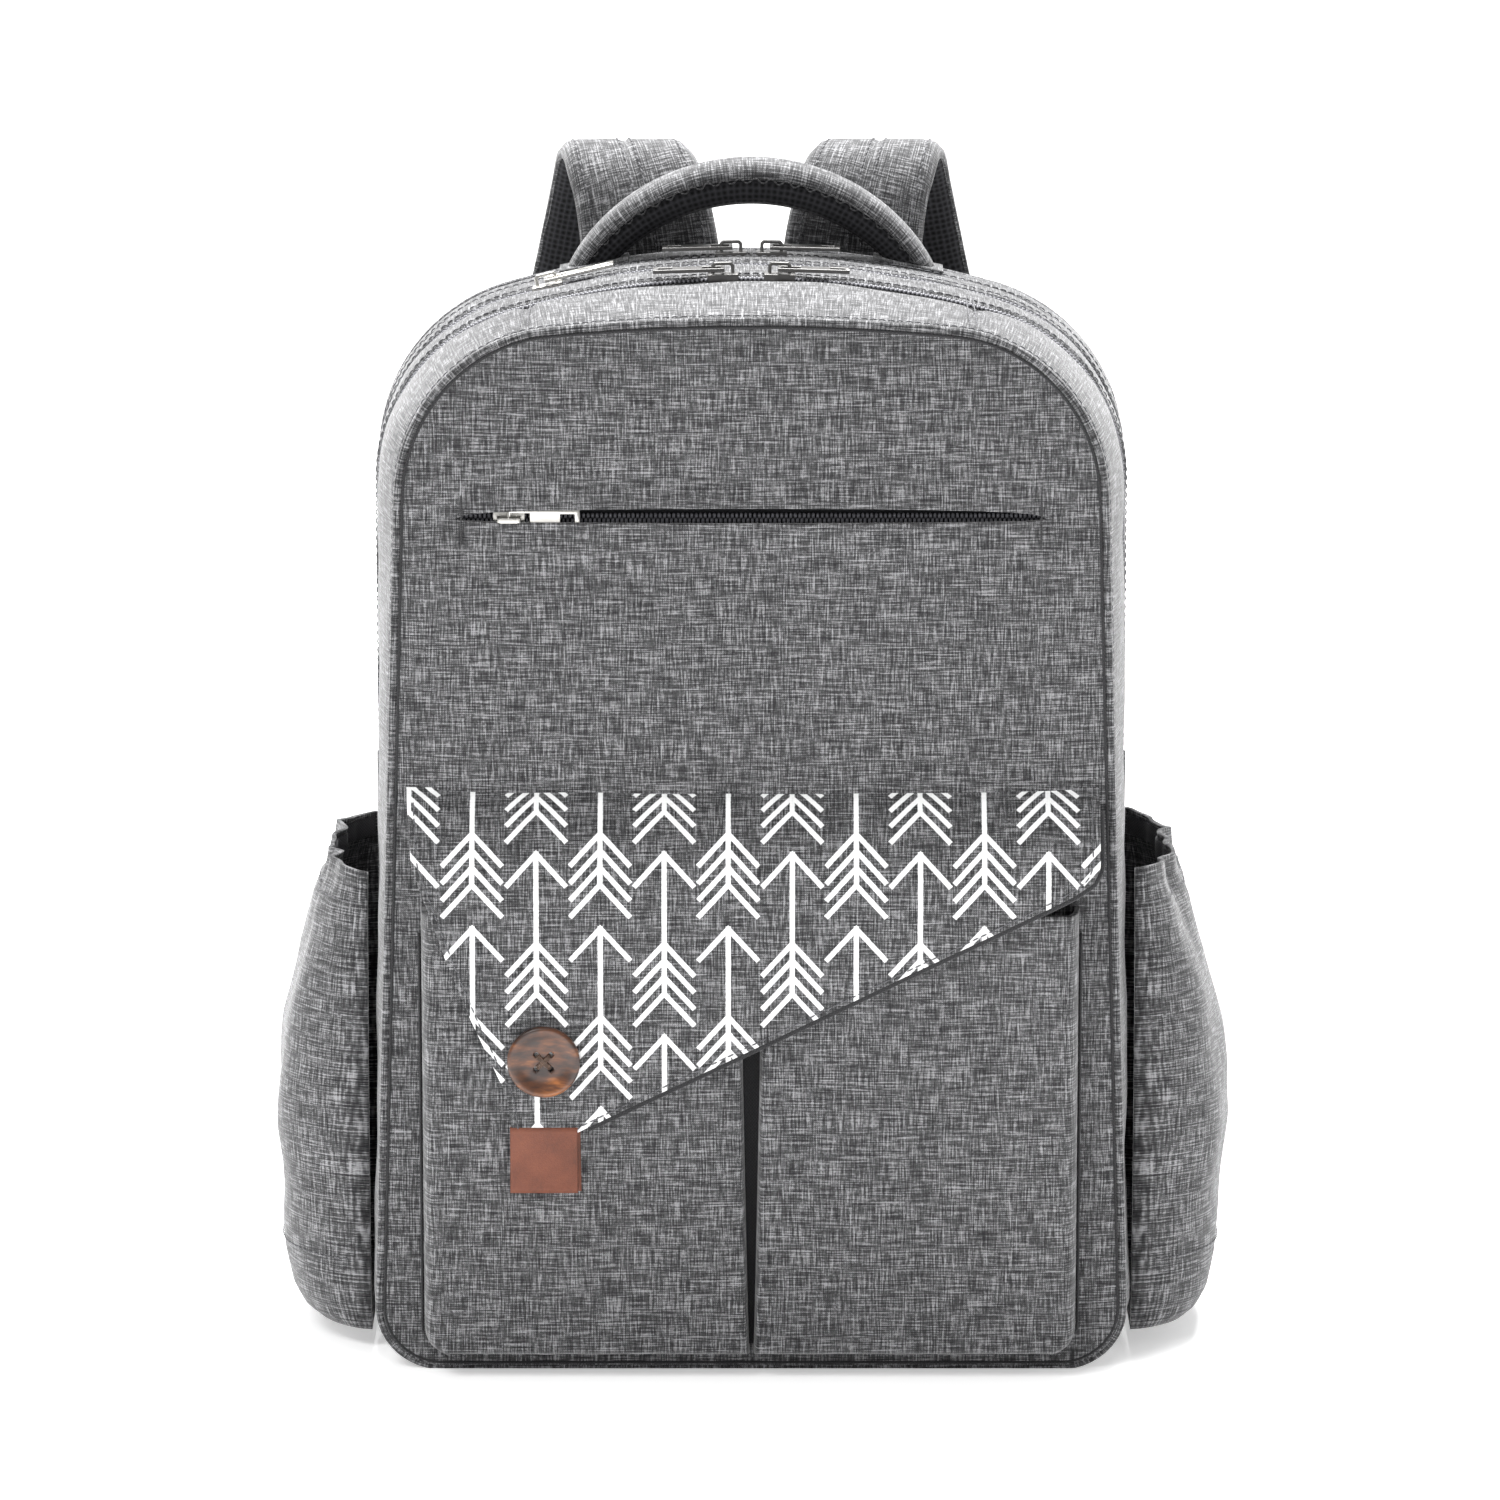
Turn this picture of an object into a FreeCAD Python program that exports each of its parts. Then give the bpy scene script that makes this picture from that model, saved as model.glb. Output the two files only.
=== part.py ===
"""Diaper backpack: cloth body, hinged front lid, flap, zips, straps and handle.

Millimetres. X points to the right as seen from the front, Y to the back, Z up.
The origin is on the ground under the middle of the bag's width, and the front faces -Y.
"""
import FreeCAD, Part
import math
import os

import Sketcher

Vector = FreeCAD.Vector

# name, value in mm or degrees
CELLS = [
    # body outline: side walls, rounded shoulders and a shallow arch across the top
    ("wall", 3.0),
    ("arch_radius", 350.0),
    ("arch_front", 900.0),
    ("shoulder_radius", 64.0),
    ("foot_radius", 30.0),
    ("half_width", 149.0),
    ("half_front", 139.0),
    ("top_rear", 417.0),
    ("top_front", 412.0),
    ("fold_height", 232.0),
    ("lid_gap", 0.4),
    # stations along the depth
    ("back_face", 80.0),
    ("foam_face", 77.0),
    ("rear_face", 68.0),
    ("main_zip_middle", 45.0),
    ("middle_zip_middle", 21.0),
    ("front_zip_middle", -10.0),
    ("gusset_front", -75.0),
    ("front_face", -80.0),
    ("divider_rear_face", 33.0),
    ("divider_front_face", 5.5),
    # zips
    ("tape_half", 4.0),
    ("coil_half", 2.0),
    ("coil_rise", 0.6),
    ("zip_gap", 0.2),
    ("slider_length", 12.0),
    ("slider_half", 3.6),
    ("slider_rise", 4.3),
    ("pull_length", 27.0),
    ("pull_half", 4.0),
    ("pull_bar", 0.7),
    ("main_slider_offset", 8.0),
    ("middle_slider_place", -80.0),
    ("front_slider_offset", 11.0),
    # concealed zip pocket in the lid
    ("slit_height", 336.0),
    ("slit_half_length", 109.0),
    ("slit_half_height", 4.4),
    ("pocket_slider_place", -92.0),
    ("pouch_depth", 110.0),
    # patch pockets and the flap over them
    ("pocket_face", -98.0),
    ("pocket_top", 185.0),
    ("pocket_foot", 8.0),
    ("pocket_left_edge", -127.0),
    ("pocket_right_edge", 126.0),
    ("pocket_gap", 1.5),
    ("flap_left", -134.0),
    ("flap_right", 133.0),
    ("flap_corner_height", 199.0),
    ("flap_tip_height", 101.0),
    ("flap_tip_left", -92.5),
    ("flap_tip_right", -66.5),
    ("flap_cloth", 2.5),
    ("flap_hinge_depth", -84.0),
    ("flap_hinge_height", 229.0),
    ("flap_knee_height", 192.0),
    ("flap_back", -98.6),
    ("tab_height", 24.0),
    ("button_place", -79.4),
    ("button_height", 129.5),
    ("button_radius", 14.0),
    ("magnet_radius", 9.0),
    # bottle pockets on the sides
    ("side_pocket_half", 60.0),
    ("side_pocket_foot", 8.0),
    ("side_pocket_waist", 85.0),
    ("side_pocket_top", 193.0),
    ("side_foot_reach", 26.0),
    ("side_waist_reach", 38.0),
    ("side_top_reach", 16.0),
    # handle: a padded arc above the rear strip
    ("handle_radius", 88.0),
    ("handle_centre", 367.0),
    ("handle_foot_height", 417.0),
    ("handle_front", 50.0),
    ("handle_back", 72.0),
    ("handle_layer", 6.5),
    ("handle_core_inset", 2.0),
    ("handle_tab_near", 46.0),
    ("handle_tab_far", 78.0),
    # shoulder straps
    ("strap_width", 60.0),
    ("strap_pad_thick", 9.0),
    ("strap_mesh_thick", 2.0),
    ("webbing_width", 25.0),
    ("webbing_thick", 1.6),
    ("lock_place", 113.0),
    ("lock_half", 17.0),
    ("lock_front", 122.0),
    ("lock_back", 127.0),
    ("lock_foot", 164.0),
    ("lock_top", 187.0),
    ("lock_rail", 3.0),
    ("lock_bar", 4.0),
    ("anchor_place", 128.0),
    ("anchor_half", 16.0),
    ("anchor_foot", 20.0),
    ("anchor_top", 44.0),
    ("anchor_thick", 5.0),
    ("yoke_half", 78.0),
    ("yoke_foot", 360.0),
    ("yoke_top", 404.0),
    ("yoke_thick", 2.0),
]

doc = FreeCAD.newDocument("diaper_backpack")
sheet = doc.addObject("Spreadsheet::Sheet", "Sizes")
for row, (alias, number) in enumerate(CELLS, start=1):
    sheet.set(f"A{row}", alias)
    sheet.set(f"B{row}", str(number))
    sheet.setAlias(f"B{row}", alias)
doc.recompute()

NAMES = sorted((alias for alias, number in CELLS), key=len, reverse=True)
parts = []


def bound(text):
    """Put the sheet's name before every cell name in an expression."""
    words = []
    word = ""
    for letter in text + " ":
        if letter.isalnum() or letter == "_":
            word += letter
            continue
        words.append(f"Sizes.{word}" if word in NAMES else word)
        words.append(letter)
        word = ""
    return "".join(words).strip()


def value(text):
    """The present value of an expression in the sheet's cells."""
    return float(sheet.evalExpression(bound(text)))


def keep(thing, label):
    """List a finished sub-part under the name of its file."""
    thing.Label = label
    parts.append(thing)
    return thing


# ---------------------------------------------------------------- sketches

def new_sketch(body, name, role, offset):
    """A sketch on one of the body's own planes, moved along the plane's normal."""
    sketch = body.newObject("Sketcher::SketchObject", name)
    plane = [item for item in body.Origin.OriginFeatures if item.Role == role][0]
    sketch.AttachmentSupport = [(plane, "")]
    sketch.MapMode = "FlatFace"
    sketch.setExpression("AttachmentOffset.Base.z", bound(offset))
    return sketch


def rule(sketch, constraint, text):
    """Add a dimension and tie it to the sheet."""
    index = sketch.addConstraint(constraint)
    sketch.setExpression(f"Constraints[{index}]", bound(text))


def add_line(sketch, start, finish):
    """A straight edge."""
    segment = Part.LineSegment(Vector(*start, 0), Vector(*finish, 0))
    return sketch.addGeometry(segment, False)


def add_arc(sketch, centre, radius, first, last):
    """A round edge, anticlockwise between two angles."""
    circle = Part.Circle(Vector(*centre, 0), Vector(0, 0, 1), radius)
    return sketch.addGeometry(Part.ArcOfCircle(circle, first, last), False)


def outline(body, name, depth, half, top, foot, inset="0", rounded_foot=False,
            bow="arch_radius"):
    """The bag's outline at one depth: feet, sides, shoulders and arched top.

    The inset moves sides, shoulders and arch inwards together. A rounded foot has the
    bottom corners of the back and front panels. The bow is the cell with the radius of
    the arched top.
    """
    sketch = new_sketch(body, name, "XZ_Plane", f"-({depth})")
    half, top = f"(({half}) - ({inset}))", f"(({top}) - ({inset}))"
    arch, corner = f"({bow} - ({inset}))", f"(shoulder_radius - ({inset}))"
    heel = "foot_radius" if rounded_foot else "0"
    side, crown, low = value(half), value(top), value(foot)
    big, small, heel_radius = value(arch), value(corner), value(heel)
    centre_height = crown - big
    shoulder = side - small
    shoulder_height = centre_height + math.sqrt((big - small) ** 2 - shoulder ** 2)
    right_angle = math.atan2(shoulder_height - centre_height, shoulder)
    left_angle = math.pi - right_angle
    base = add_line(sketch, (side - heel_radius, low), (heel_radius - side, low))
    left = add_line(sketch, (-side, low + heel_radius), (-side, shoulder_height))
    left_corner = add_arc(sketch, (-shoulder, shoulder_height), small, left_angle, math.pi)
    arc = add_arc(sketch, (0, centre_height), big, right_angle, left_angle)
    right_corner = add_arc(sketch, (shoulder, shoulder_height), small, 0, right_angle)
    right = add_line(sketch, (side, shoulder_height), (side, low + heel_radius))
    make = Sketcher.Constraint
    sketch.addConstraint([
        make("Tangent", left, 2, left_corner, 2),
        make("Tangent", left_corner, 1, arc, 2),
        make("Tangent", arc, 1, right_corner, 2),
        make("Tangent", right_corner, 1, right, 1),
        make("Equal", left_corner, right_corner),
        make("Vertical", left),
        make("Vertical", right),
        make("PointOnObject", arc, 3, -2),
        make("Symmetric", base, 1, base, 2, -2),
    ])
    if rounded_foot:
        centre = side - heel_radius
        level = low + heel_radius
        left_heel = add_arc(sketch, (-centre, level), heel_radius, math.pi, 1.5 * math.pi)
        right_heel = add_arc(sketch, (centre, level), heel_radius, 1.5 * math.pi, 2 * math.pi)
        sketch.addConstraint([
            make("Tangent", base, 2, left_heel, 2),
            make("Tangent", left_heel, 1, left, 1),
            make("Tangent", right, 2, right_heel, 2),
            make("Tangent", right_heel, 1, base, 1),
            make("Equal", left_heel, right_heel),
        ])
        rule(sketch, make("Radius", left_heel, heel_radius), heel)
    else:
        sketch.addConstraint([
            make("Coincident", base, 2, left, 1),
            make("Coincident", right, 2, base, 1),
        ])
    rule(sketch, make("Radius", arc, big), arch)
    rule(sketch, make("Radius", left_corner, small), corner)
    rule(sketch, make("DistanceX", left, 2, right, 1, 2 * side), f"2 * {half}")
    rule(sketch, make("DistanceY", -1, 1, base, 1, low), foot)
    rule(sketch, make("DistanceY", -1, 1, arc, 3, centre_height), f"{top} - {arch}")
    return sketch


def polygon(sketch, corners):
    """A closed outline with straight sides; corners are pairs of expressions."""
    spots = [(value(x), value(y)) for x, y in corners]
    count = len(spots)
    for index, spot in enumerate(spots):
        add_line(sketch, spot, spots[(index + 1) % count])
    for index in range(count):
        following = (index + 1) % count
        sketch.addConstraint(Sketcher.Constraint("Coincident", index, 2, following, 1))
    for index, (x, y) in enumerate(corners):
        along, up = spots[index]
        rule(sketch, Sketcher.Constraint("DistanceX", -1, 1, index, 1, along), x)
        rule(sketch, Sketcher.Constraint("DistanceY", -1, 1, index, 1, up), y)
    return sketch


def rectangle(sketch, left, right, low, high):
    """A rectangle between two pairs of sides."""
    return polygon(sketch, [(left, low), (right, low), (right, high), (left, high)])


def disc(sketch, x, y, radius):
    """A round hole or boss."""
    spot = Vector(value(x), value(y), 0)
    circle = Part.Circle(spot, Vector(0, 0, 1), value(radius))
    index = sketch.addGeometry(circle, False)
    rule(sketch, Sketcher.Constraint("DistanceX", -1, 1, index, 3, spot.x), x)
    rule(sketch, Sketcher.Constraint("DistanceY", -1, 1, index, 3, spot.y), y)
    rule(sketch, Sketcher.Constraint("Radius", index, value(radius)), radius)
    return sketch


# ---------------------------------------------------------------- features

def new_body(label):
    """An empty PartDesign body, listed as a sub-part."""
    return keep(doc.addObject("PartDesign::Body", label), label)


def pad(body, name, sketch, length):
    """Material from the sketch along its normal."""
    feature = body.newObject("PartDesign::Pad", name)
    feature.Profile = sketch
    feature.setExpression("Length", bound(length))
    return feature


def pocket(body, name, sketch, length=None, forward=False):
    """A cut from the sketch against its normal or forward along it, or right through."""
    doc.recompute()
    before = body.Shape.Volume
    feature = body.newObject("PartDesign::Pocket", name)
    feature.Profile = sketch
    if length is None:
        feature.Type = "ThroughAll"
        feature.Midplane = True
    else:
        feature.Reversed = forward
        feature.setExpression("Length", bound(length))
    doc.recompute()
    if before - body.Shape.Volume < 1.0:
        raise RuntimeError(f"{body.Label}: {name} cuts nothing")
    return feature


def block(label, low, high):
    """A plain box between two corners, each three expressions."""
    box = doc.addObject("Part::Box", label)
    for axis, size, start, finish in zip("xyz", ("Length", "Width", "Height"), low, high):
        box.setExpression(size, bound(f"({finish}) - ({start})"))
        box.setExpression(f"Placement.Base.{axis}", bound(start))
    return box


def ring_band(label, front, back, half, top, foot):
    """A strip of padded cloth over the bag from foot to foot, one wall thick."""
    body = new_body(label)
    outer = outline(body, f"{label}_outer", back, half, top, foot)
    pad(body, f"{label}_pad", outer, f"({back}) - ({front})")
    inner = outline(body, f"{label}_inner", back, half, top, f"({foot}) - 9", inset="wall")
    pocket(body, f"{label}_hollow", inner)
    return body


def zip_band(label, tape_front, tape_back, coil_front, coil_back, half, top, foot):
    """A zip's tape and coil along the same path; the coil stands a little proud."""
    body = new_body(label)
    coil = outline(body, f"{label}_coil", coil_back, half, top, foot, inset="-coil_rise")
    pad(body, f"{label}_coil_pad", coil, f"({coil_back}) - ({coil_front})")
    tape = outline(body, f"{label}_tape", tape_back, half, top, foot, inset="wall - 1")
    pad(body, f"{label}_tape_pad", tape, f"({tape_back}) - ({tape_front})")
    inner = outline(body, f"{label}_inner", tape_back, half, top, f"({foot}) - 9", inset="wall")
    pocket(body, f"{label}_hollow", inner)
    return body


# ---------------------------------------------------------------- body of the bag

def build_shell():
    """Back, base and the strips over the top that stay with the back."""
    back = new_body("back_panel")
    skin = outline(back, "back_skin", "back_face", "half_width - 3", "top_rear - 3", "0",
                   rounded_foot=True)
    pad(back, "back_skin_pad", skin, "back_face - foam_face")
    foam = new_body("back_foam")
    core = outline(foam, "foam_core", "foam_face", "half_width - 3", "top_rear - 3", "0",
                   inset="0", rounded_foot=True)
    pad(foam, "foam_core_pad", core, "foam_face - rear_face")

    base = new_body("base_gusset")
    sketch = new_sketch(base, "base_outer", "XZ_Plane", "-rear_face")
    channel(sketch, "half_width", "0", "foot_radius")
    pad(base, "base_pad", sketch, "rear_face - gusset_front")
    sketch = new_sketch(base, "base_inner", "XZ_Plane", "-rear_face")
    channel(sketch, "half_width - wall", "wall", "foot_radius - wall")
    pocket(base, "base_hollow", sketch)

    board = block("base_board", ("30 - half_width", "gusset_front + 4", "wall"),
                  ("half_width - 30", "rear_face - 4", "wall + 3"))
    keep(board, "base_board")

    foot = "fold_height"
    ring_band("rear_strip", "main_zip_middle + tape_half", "rear_face",
              "half_width", "top_rear", foot)
    ring_band("middle_strip", "middle_zip_middle + tape_half", "main_zip_middle - tape_half",
              "half_width", "top_rear", foot)
    ring_band("divider_strip", "front_zip_middle + tape_half",
              "middle_zip_middle - tape_half", "half_width", "top_rear", foot)
    for label, middle in (("main_zip_chain", "main_zip_middle"),
                          ("middle_zip_chain", "middle_zip_middle")):
        zip_band(label, f"{middle} - tape_half", f"{middle} + tape_half",
                 f"{middle} - coil_half", f"{middle} + coil_half",
                 "half_width", "top_rear", foot)
    zip_band("front_zip_rear_half", "front_zip_middle + zip_gap",
             "front_zip_middle + tape_half", "front_zip_middle + zip_gap",
             "front_zip_middle + coil_half", "half_width", "top_rear", foot)

    for label, face in (("divider_rear", "divider_rear_face"),
                        ("divider_front", "divider_front_face")):
        body = new_body(label)
        sheet_outline = outline(body, f"{label}_edge", face, "half_width", "top_rear",
                                "wall + 4", inset="wall + 1")
        pad(body, f"{label}_pad", sheet_outline, "1.5")
        corners = new_sketch(body, f"{label}_corners", "XZ_Plane", f"-({face})")
        rectangle(corners, "-half_width", "half_width", "0", "foot_radius")
        pocket(body, f"{label}_foot", corners)


def channel(sketch, half, low, heel):
    """A square-topped outline with rounded bottom corners, for the base gusset."""
    side, floor, radius = value(half), value(low), value(heel)
    high = value("fold_height")
    inner = side - radius
    level = floor + radius
    base = add_line(sketch, (inner, floor), (-inner, floor))
    left_heel = add_arc(sketch, (-inner, level), radius, math.pi, 1.5 * math.pi)
    left = add_line(sketch, (-side, level), (-side, high))
    lid = add_line(sketch, (-side, high), (side, high))
    right = add_line(sketch, (side, high), (side, level))
    right_heel = add_arc(sketch, (inner, level), radius, 1.5 * math.pi, 2 * math.pi)
    make = Sketcher.Constraint
    sketch.addConstraint([
        make("Tangent", base, 2, left_heel, 2),
        make("Tangent", left_heel, 1, left, 1),
        make("Coincident", left, 2, lid, 1),
        make("Coincident", lid, 2, right, 1),
        make("Tangent", right, 2, right_heel, 2),
        make("Tangent", right_heel, 1, base, 1),
        make("Equal", left_heel, right_heel),
        make("Vertical", left),
        make("Vertical", right),
        make("Symmetric", lid, 1, lid, 2, -2),
    ])
    rule(sketch, make("Radius", left_heel, radius), heel)
    rule(sketch, make("DistanceX", lid, 1, lid, 2, 2 * side), f"2 * ({half})")
    rule(sketch, make("DistanceY", -1, 1, base, 1, floor), low)
    rule(sketch, make("DistanceY", -1, 1, lid, 1, high), "fold_height")


def build_lid():
    """The front compartment's cover, from the fold line up to the frontmost zip."""
    foot = "fold_height + lid_gap"
    zip_band("front_zip_front_half", "front_zip_middle - tape_half",
             "front_zip_middle - zip_gap", "front_zip_middle - coil_half",
             "front_zip_middle - zip_gap", "half_width", "top_rear", foot)
    body = new_body("lid_gusset")
    rear = "front_zip_middle - tape_half"
    shells = []
    for name, inset, low in (("outer", "0", foot), ("inner", "wall", f"{foot} - 9")):
        back = outline(body, f"lid_{name}_back", rear, "half_width", "top_rear", low,
                       inset=inset)
        front = outline(body, f"lid_{name}_front", "gusset_front", "half_front",
                        "top_front", low, inset=inset, bow="arch_front")
        shells.append((back, front))
    skin = body.newObject("PartDesign::AdditiveLoft", "lid_skin")
    skin.Profile, skin.Sections, skin.Ruled = shells[0][0], [shells[0][1]], True
    doc.recompute()
    full = body.Shape.Volume
    hollow = body.newObject("PartDesign::SubtractiveLoft", "lid_hollow")
    hollow.Profile, hollow.Sections, hollow.Ruled = shells[1][0], [shells[1][1]], True
    doc.recompute()
    if full - body.Shape.Volume < 1.0:
        raise RuntimeError("lid_gusset is not hollow")

    # the panel is split in two by the concealed pocket's slit, with closed ends beside it
    for label, low, high in (
            ("lid_panel_lower", "slit_height", "top_rear + 9"),
            ("lid_panel_upper", "fold_height - 9", "slit_height")):
        panel = new_body(label)
        edge = outline(panel, f"{label}_edge", "gusset_front", "half_front", "top_front",
                       foot, bow="arch_front")
        pad(panel, f"{label}_pad", edge, "gusset_front - front_face")
        rest = new_sketch(panel, f"{label}_rest", "XZ_Plane", "-gusset_front")
        rectangle(rest, "-half_width", "half_width", low, high)
        pocket(panel, f"{label}_cut", rest)
        slit = new_sketch(panel, f"{label}_slit", "XZ_Plane", "-gusset_front")
        rectangle(slit, "-slit_half_length - 1", "slit_half_length + 1",
                  "slit_height - slit_half_height", "slit_height + slit_half_height")
        pocket(panel, f"{label}_slit_cut", slit)

    # pocket bag hanging behind the slit
    pouch = doc.addObject("Part::Cut", "pocket_pouch")
    pouch.Base = block("pouch_outside",
                       ("-slit_half_length - 6", "gusset_front + 1", "slit_height - pouch_depth + 20"),
                       ("slit_half_length + 6", "gusset_front + 12", "slit_height + 16"))
    pouch.Tool = block("pouch_inside",
                       ("-slit_half_length - 4", "gusset_front", "slit_height - pouch_depth + 22"),
                       ("slit_half_length + 4", "gusset_front + 10.5", "slit_height + 14"))
    keep(pouch, "pocket_pouch")

    # the slit's zip: a tape behind the panel with the coil in the opening
    chain = doc.addObject("Part::Fuse", "pocket_zip_chain")
    chain.Base = block("pocket_tape",
                       ("-slit_half_length - 5", "gusset_front", "slit_height - 7"),
                       ("slit_half_length + 5", "gusset_front + 1", "slit_height + 7"))
    chain.Tool = block("pocket_coil",
                       ("-slit_half_length", "gusset_front - 2.4", "slit_height - coil_half"),
                       ("slit_half_length", "gusset_front", "slit_height + coil_half"))
    keep(chain, "pocket_zip_chain")


# ---------------------------------------------------------------- zip sliders and pulls

def build_slider(label, base, turn, axis, flanges):
    """A slider whose bow holds a pull; its own origin is the pull's hinge.

    The plate lies under the bow, and the flanges reach down beside the coil.
    """
    body = new_body(label)
    plate = new_sketch(body, f"{label}_plate", "XY_Plane", "1 - slider_rise")
    rectangle(plate, "-slider_length / 2", "slider_length / 2", "-slider_half", "slider_half")
    pad(body, f"{label}_plate_pad", plate, "1.5")
    bow = new_sketch(body, f"{label}_bow", "XZ_Plane", "-1")
    polygon(bow, [("-4.5", "-2.3"), ("-4.5", "1.4"), ("-3.3", "2.6"), ("3.3", "2.6"),
                  ("4.5", "1.4"), ("4.5", "-2.3"), ("3.2", "-2.3"), ("3.2", "1"),
                  ("2.8", "1.4"), ("-2.8", "1.4"), ("-3.2", "1"), ("-3.2", "-2.3")])
    pad(body, f"{label}_bow_pad", bow, "2")
    for number, side in enumerate(flanges):
        flange = new_sketch(body, f"{label}_flange_{number}", "XY_Plane", "-slider_rise - 0.7")
        near, far = sorted((f"{side} * (slider_half - 0.6)", f"{side} * slider_half"), key=value)
        rectangle(flange, "-slider_length / 2", "slider_length / 2", near, far)
        pad(body, f"{label}_flange_pad_{number}", flange, "2.2")
    seat(body, base, turn, axis)


def build_pull(label, base, turn, axis):
    """A flat pull with an eye for the slider's bow and a window near its end."""
    body = new_body(label)
    frame = new_sketch(body, f"{label}_frame", "XY_Plane", "-pull_bar")
    rectangle(frame, "-pull_bar", "pull_length", "-pull_half", "pull_half")
    pad(body, f"{label}_frame_pad", frame, "2 * pull_bar")
    holes = [("eye", "pull_bar", "8", "2.6"), ("window", "pull_length - 7.5", "pull_length - 2", "2.2")]
    for name, start, finish, half in holes:
        hole = new_sketch(body, f"{label}_{name}", "XY_Plane", "pull_bar")
        rectangle(hole, start, finish, f"-{half}", half)
        pocket(body, f"{label}_{name}_cut", hole, "2 * pull_bar")
    seat(body, base, turn, axis)


def seat(body, base, turn, axis):
    """Put a body at a place given by expressions, turned about an axis."""
    body.Placement = FreeCAD.Placement(Vector(0, 0, 0), FreeCAD.Rotation(Vector(*axis), turn))
    for letter, text in zip("xyz", base):
        body.setExpression(f"Placement.Base.{letter}", bound(text))


def arch_height(place):
    """Height of the arched top at a distance from the middle, as an expression."""
    return f"(top_rear - arch_radius + sqrt(arch_radius * arch_radius - ({place}) * ({place})))"


def build_zip_hardware():
    """Six sliders with their pulls."""
    both = (-1, 1)
    runs = [
        ("main_slider_left", "main_pull_left", "-main_slider_offset", "main_zip_middle", True, both),
        ("main_slider_right", "main_pull_right", "main_slider_offset", "main_zip_middle", False, both),
        ("middle_slider", "middle_pull", "middle_slider_place", "middle_zip_middle", False, both),
        ("front_slider_left", "front_pull_left", "-front_slider_offset", "front_zip_middle", True, (-1,)),
        ("front_slider_right", "front_pull_right", "front_slider_offset", "front_zip_middle", False, (-1,)),
    ]
    for slider, pull, place, depth, mirrored, flanges in runs:
        tilt = math.degrees(math.asin(value(place) / value("arch_radius")))
        base = (place, depth, f"{arch_height(place)} + slider_rise")
        build_slider(slider, base, tilt, (0, 1, 0), flanges)
        build_pull(pull, base, tilt, (0, 1, 0))
        if mirrored:
            flip = FreeCAD.Rotation(Vector(0, 0, 1), 180)
            turn = parts[-1].Placement.Rotation.multiply(flip)
            parts[-1].Placement = FreeCAD.Placement(parts[-1].Placement.Base, turn)
    base = ("pocket_slider_place", "gusset_front - 1.8 - slider_rise", "slit_height")
    build_slider("pocket_slider", base, 90, (1, 0, 0), ())
    build_pull("pocket_pull", base, 90, (1, 0, 0))


# ---------------------------------------------------------------- pockets and flap

def build_front_pockets():
    """Lower front panel and the two patch pockets on it, each open at the top."""
    panel = new_body("front_lower_panel")
    sketch = new_sketch(panel, "lower_panel_edge", "XZ_Plane", "-gusset_front")
    channel(sketch, "half_width - 5", "0", "foot_radius")
    pad(panel, "lower_panel_pad", sketch, "gusset_front - front_face")
    for label, left, right in (("front_pocket_left", "pocket_left_edge", "-pocket_gap"),
                               ("front_pocket_right", "pocket_gap", "pocket_right_edge")):
        body = new_body(label)
        edge = new_sketch(body, f"{label}_edge", "XZ_Plane", "-front_face")
        rectangle(edge, left, right, "pocket_foot", "pocket_top")
        pad(body, f"{label}_pad", edge, "front_face - pocket_face")
        mouth = new_sketch(body, f"{label}_mouth", "XY_Plane", "pocket_top")
        rectangle(mouth, f"{left} + wall", f"{right} - wall", "pocket_face + wall",
                  "front_face - 1.5")
        pocket(body, f"{label}_hollow", mouth, "pocket_top - pocket_foot - wall")
        if label == "front_pocket_left":
            recess = new_sketch(body, f"{label}_recess", "XZ_Plane", "-(pocket_face + wall)")
            disc(recess, "button_place", "button_height - 6", "magnet_radius + 0.2")
            pocket(body, f"{label}_recess_cut", recess, "1.5", forward=True)
    plate = doc.addObject("Part::Cylinder", "pocket_magnet")
    disc_plate(plate, "pocket_face + wall", "button_height - 6", "1.4")
    keep(plate, "pocket_magnet")


def disc_plate(plate, back, height, thick):
    """A round plate that faces the front, in line with the button."""
    plate.setExpression("Radius", bound("magnet_radius"))
    plate.setExpression("Height", bound(thick))
    plate.Placement = FreeCAD.Placement(Vector(0, 0, 0), FreeCAD.Rotation(Vector(1, 0, 0), 90))
    for letter, text in zip("xyz", ("button_place", back, height)):
        plate.setExpression(f"Placement.Base.{letter}", bound(text))


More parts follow.
